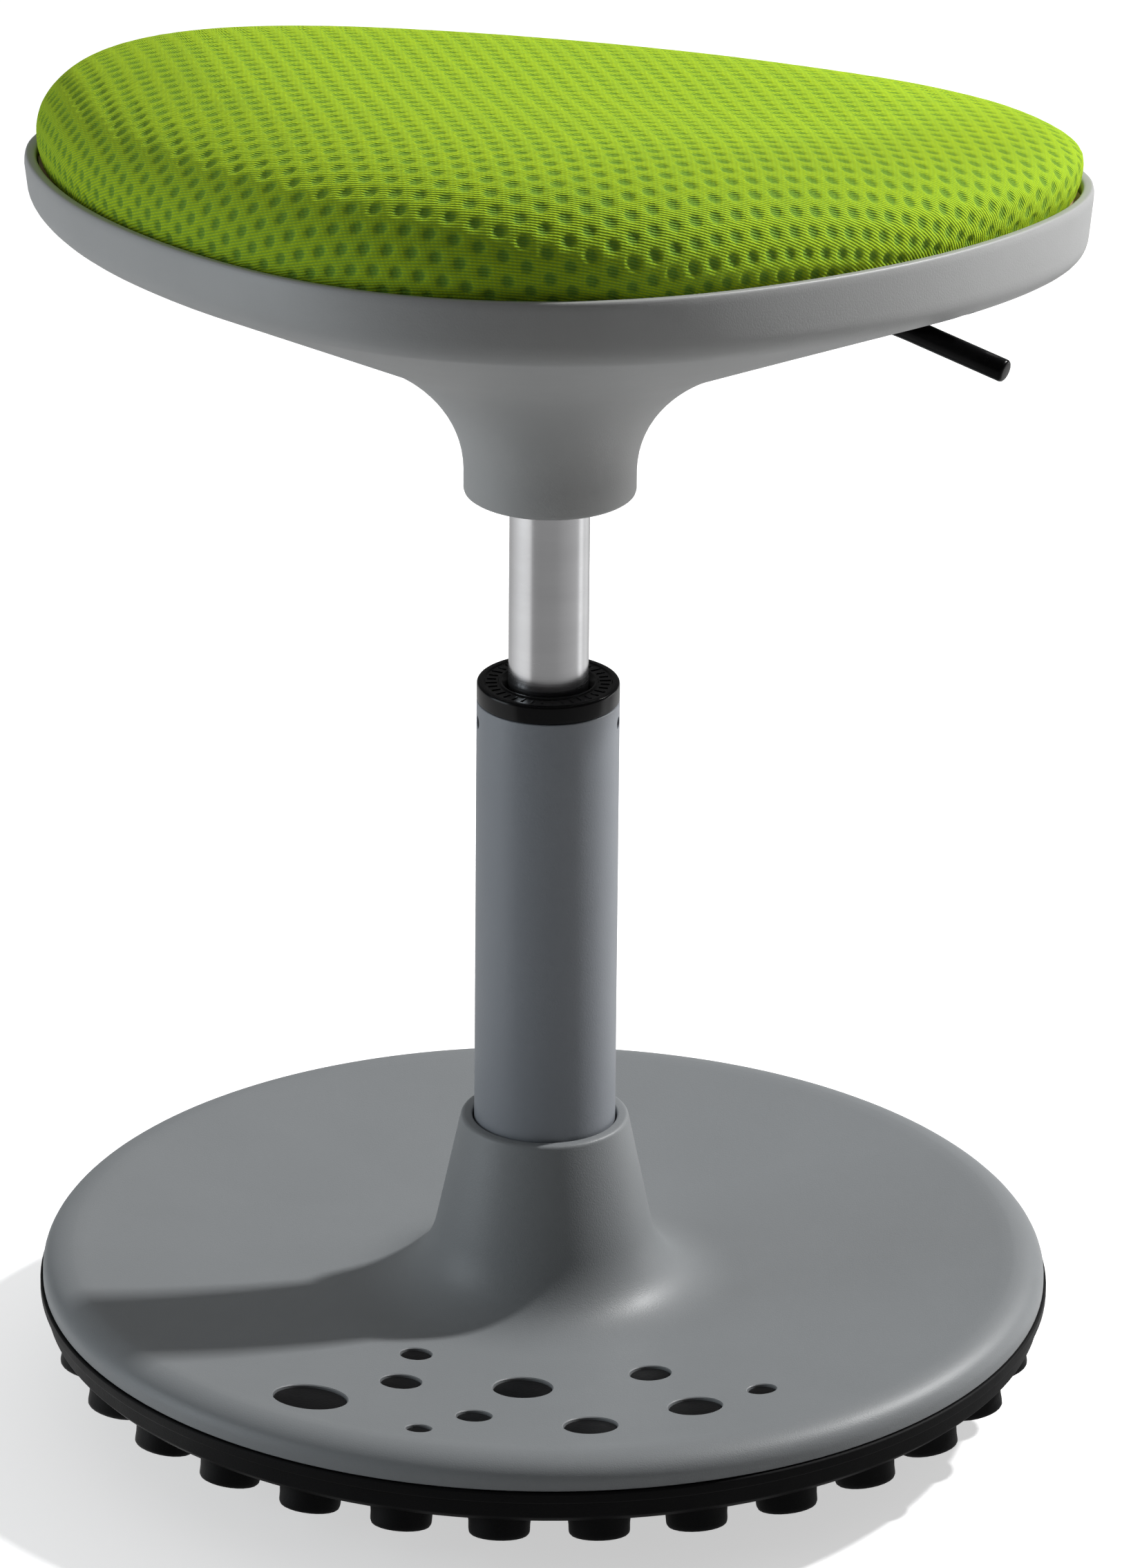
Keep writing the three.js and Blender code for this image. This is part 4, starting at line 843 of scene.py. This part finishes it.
cushion = stack("cushion_cover", 160, len(cushion_line(0)), cushion_point)
drawn = BVHTree.FromObject(cushion, bpy.context.evaluated_depsgraph_get())
pad_voxel, cover_voxel = 0.0045, 0.0022
foam_pressure, cloth_frames, most_push, spreads = 4, 20, 0.001, 8
foam_push, pushes = None, []
# The foam's push is worked out on a coarse copy, as cloth with pressure inside it.
only(cushion)
bpy.ops.object.duplicate()
pad = bpy.context.object
remeshed(pad, pad_voxel)
rest = [(corner.co.copy(), corner.normal.copy()) for corner in pad.data.vertices]
bpy.ops.object.modifier_add(type="CLOTH")
cloth = pad.modifiers[-1]
cloth.settings.use_pressure = True
cloth.settings.uniform_pressure_force = foam_pressure
cloth.settings.effector_weights.gravity = 0
cloth.point_cache.frame_start, cloth.point_cache.frame_end = 1, cloth_frames
for step in range(1, cloth_frames + 1):
    scene.frame_set(step)
shaped = pad.evaluated_get(bpy.context.evaluated_depsgraph_get()).to_mesh()
pushes = [max(0.0, min(most_push, (corner.co - start).dot(normal)))
          for corner, (start, normal) in zip(shaped.vertices, rest)]
scene.frame_set(1)
# Each point's push is averaged with its neighbours', a few times over.
for _ in range(spreads):
    total, count = list(pushes), [1] * len(pushes)
    for line in pad.data.edges:
        a, b = line.vertices
        total[a] += pushes[b]
        total[b] += pushes[a]
        count[a] += 1
        count[b] += 1
    pushes = [t / c for t, c in zip(total, count)]
foam_push = KDTree(len(rest))
for i, (start, normal) in enumerate(rest):
    foam_push.insert(start, i)
foam_push.balance()
bpy.data.objects.remove(pad)
remeshed(cushion, cover_voxel)

# The fine mesh is laid back on the drawn skin and pushed out. The push fades towards the foot.
for corner in cushion.data.vertices:
    spot, normal, _, _ = drawn.find_nearest(corner.co)
    push = draw_in * mm
    if foam_push:
        found = [(pushes[i], 1 / (far + 0.0005)) for _, i, far in foam_push.find_n(spot, 4)]
        push = sum(p * w for p, w in found) / sum(w for _, w in found)
    corner.co = spot + normal * push * clamped((spot.z / mm + 1) / 4)

# The cover's cloth coordinates run outwards from the middle of the top, by the way along the
# surface, so that the dimples keep their size down the sides.
profiles = []
profile_count = 120
for i in range(profile_count):
    line = cushion_line(2 * math.pi * i / profile_count)[::-1]
    ways, total = [], 0.0
    for j, point in enumerate(line):
        if j:
            total += (point - line[j - 1]).length
        here = point - Vector((*shift, 0))
        ways.append((math.hypot(here.x, here.y), point.z, total))
    profiles.append(ways)


def way_out(profile, r, z):
    """How far along the surface a point lies from the middle of the top."""
    best, found = 1e9, 0.0
    for (r0, z0, s0), (r1, z1, s1) in zip(profile, profile[1:]):
        dr, dz = r1 - r0, z1 - z0
        t = clamped(((r - r0) * dr + (z - z0) * dz) / (dr * dr + dz * dz + 1e-9))
        off = (r0 + dr * t - r) ** 2 + (z0 + dz * t - z) ** 2
        if off < best:
            best, found = off, s0 + (s1 - s0) * t
    return found


cloth_turn = math.radians(14)
bow_from = 0.62
cloth_map, thread_map = [], []
for corner in cushion.data.vertices:
    x, y, z = corner.co / mm - Vector((*shift, 0))
    angle, r = math.atan2(y, x) % (2 * math.pi), math.hypot(x, y)
    place = angle / (2 * math.pi) * profile_count
    low, part = int(place) % profile_count, place % 1
    high = (low + 1) % profile_count
    way = way_out(profiles[low], r, z) * (1 - part) + way_out(profiles[high], r, z) * part
    way *= mm
    cloth_map.append((way * math.cos(angle), way * math.sin(angle)))
    # The threads cross the top almost straight and bow round with the edge at the sides.
    straight = -way * math.sin(angle + cloth_turn)
    edge_share = smooth_step(clamped((r / outline(angle, bulge) - bow_from) / (1 - bow_from)))
    edge_share *= 0.5 - 0.5 * math.sin(angle)
    thread_map.append((straight * (1 - edge_share) + way * edge_share, edge_share))


def face_corners():
    """The point that each face corner of the cushion belongs to."""
    corners = [0] * len(cushion.data.loops)
    cushion.data.loops.foreach_get("vertex_index", corners)
    return corners


for name, places in (("cloth", cloth_map), ("threads", thread_map)):
    layer = cushion.data.uv_layers.new(name=name)
    layer.data.foreach_set("uv", [value for i in face_corners() for value in places[i]])
only(cushion)
bpy.ops.object.modifier_add(type="SUBSURF")
finer = cushion.modifiers[-1]
finer.levels = finer.render_levels = 1
bpy.ops.object.modifier_apply(modifier=finer.name)

# Each dimple is pressed into the mesh itself, in staggered rows.
pitch_u, pitch_v, dimple_depth = 0.0088, 0.0148, 0.00065
dimple_inner, dimple_outer = 0.0010, 0.0034
turn_cos, turn_sin = math.cos(cloth_turn), math.sin(cloth_turn)
corners = face_corners()
flat = [0.0] * (2 * len(corners))
cushion.data.uv_layers["cloth"].data.foreach_get("uv", flat)
spots = {i: (flat[2 * k], flat[2 * k + 1]) for k, i in enumerate(corners)}
sunk = []
for corner in cushion.data.vertices:
    u, v = spots[corner.index]
    u, v = u * turn_cos - v * turn_sin, u * turn_sin + v * turn_cos
    far = min(math.hypot(((u / pitch_u + off) % 1 - 0.5) * pitch_u,
                         ((v / pitch_v + off) % 1 - 0.5) * pitch_v) for off in (0.0, 0.5))
    pressed = smooth_step(clamped((dimple_outer - far) / (dimple_outer - dimple_inner)))
    top = clamped((corner.co.z / mm + 1.5) / 3)
    sunk.append(corner.co - corner.normal * dimple_depth * pressed * top)
for corner, place in zip(cushion.data.vertices, sunk):
    corner.co = place

# The underside is flat and lies on the board, out of sight. Its small faces are taken away and one
# fan closes it, only now, because a fan can't be subdivided well.
only(cushion)
fan_share = 0.88
for face in cushion.data.polygons:
    off_centre = face.center / mm - Vector((*shift, 0))
    fan_reach = outline(math.atan2(off_centre.y, off_centre.x), 0) * fan_share
    face.select = off_centre.z < board_top + 0.2 and off_centre.length < fan_reach
bpy.ops.object.mode_set(mode="EDIT")
bpy.ops.mesh.select_mode(type="FACE")
bpy.ops.mesh.delete(type="FACE")
bpy.ops.mesh.select_mode(type="VERT")
bpy.ops.mesh.select_all(action="DESELECT")
bpy.ops.mesh.select_non_manifold()
bpy.ops.mesh.extrude_region_move()
bpy.ops.mesh.merge(type="CENTER")
bpy.ops.mesh.select_all(action="SELECT")
bpy.ops.mesh.normals_make_consistent(inside=False)
bpy.ops.object.mode_set(mode="OBJECT")
cushion.data.transform(seat_placed)
only(cushion)
bpy.ops.object.shade_smooth()

mesh_cloth, shader, wire = surface("lime_mesh", (0.3, 0.46, 0.02), 0.85)
laid = wire.node("ShaderNodeUVMap", {"uv_map": "cloth"})
spot = wire.node("ShaderNodeMapping", inputs={"Vector": laid, "Rotation": (0, 0, cloth_turn)})
u = wire.node("ShaderNodeSeparateXYZ", inputs={0: spot}, out=0)
v = wire.node("ShaderNodeSeparateXYZ", inputs={0: spot}, out=1)
strung = wire.node("ShaderNodeUVMap", {"uv_map": "threads"})
run = wire.node("ShaderNodeSeparateXYZ", inputs={0: strung}, out=0)


def to_centre(a, b, off):
    """The distance to the nearest dimple of one of the two staggered sets."""
    x = (a / pitch_u + off).math("FRACT") - 0.5
    y = (b / pitch_v + off).math("FRACT") - 0.5
    return ((x * pitch_u) * (x * pitch_u) + (y * pitch_v) * (y * pitch_v)).math("SQRT")


fray_size, thread_pitch, cross_pitch = 0.0016, 0.00112, 0.0015
nearest = to_centre(u, v, 0.0).math("MINIMUM", to_centre(u, v, 0.5))

# The yarn frays each dimple's edge. Two sets of fine ribs cross to make the threads.
fray = wire.node("ShaderNodeTexNoise", inputs={"Vector": spot, "Scale": 700.0, "Detail": 3.0})
ragged = nearest + (fray - 0.5) * fray_size
hollow = wire.node("ShaderNodeMapRange", {"interpolation_type": "SMOOTHSTEP"},
                   {0: ragged, 1: 0.0014, 2: 0.0031, 3: 1.0, 4: 0.0})
yarn = ((run + (fray - 0.5) * 0.0003) * (2 * math.pi / thread_pitch)).math("SINE") * 0.5 + 0.5
cross = ((u * 0.9 + v * 0.4 + (fray - 0.5) * 0.0006) * (2 * math.pi / cross_pitch)).math("SINE") * 0.5 + 0.5
threads = yarn * (cross * 0.35 + 0.65)
cloud = wire.node("ShaderNodeTexNoise", inputs={"Vector": spot, "Scale": 60.0, "Detail": 3.0})
# The gaps between the threads are darker than their tops. This is partly the darker inner layer of the mesh
# showing through and partly painted shade between the ribs.
face = tint(wire, threads * 0.85 + cloud * 0.3 - 0.05, (0.23, 0.45, 0.05), (0.56, 0.76, 0.012))
# The dimples' hollows are darker still. This is partly the inner layer seen through the net and partly
# painted shade in the hollow.
deep = tint(wire, threads, (0.11, 0.28, 0.045), (0.22, 0.4, 0.04))
color = wire.node("ShaderNodeMix", {"data_type": "RGBA"}, {0: hollow * 0.8, 6: face, 7: deep}, out=2)
feed(shader, "Base Color", color)
feed(shader, "Roughness", threads * -0.15 + 0.92)
feed(shader, "Normal", bump(wire, threads * 0.3 - hollow * 0.12, 0.0009, 0.9))
shader.inputs["Sheen Weight"].default_value = 0.25
shader.inputs["Sheen Roughness"].default_value = 0.5
shader.inputs["Sheen Tint"].default_value = (0.85, 0.95, 0.0, 1)
shader.inputs["Specular IOR Level"].default_value = 0.06
dressed(cushion, mesh_cloth, "seat", "mesh_fabric", "seat_cushion")
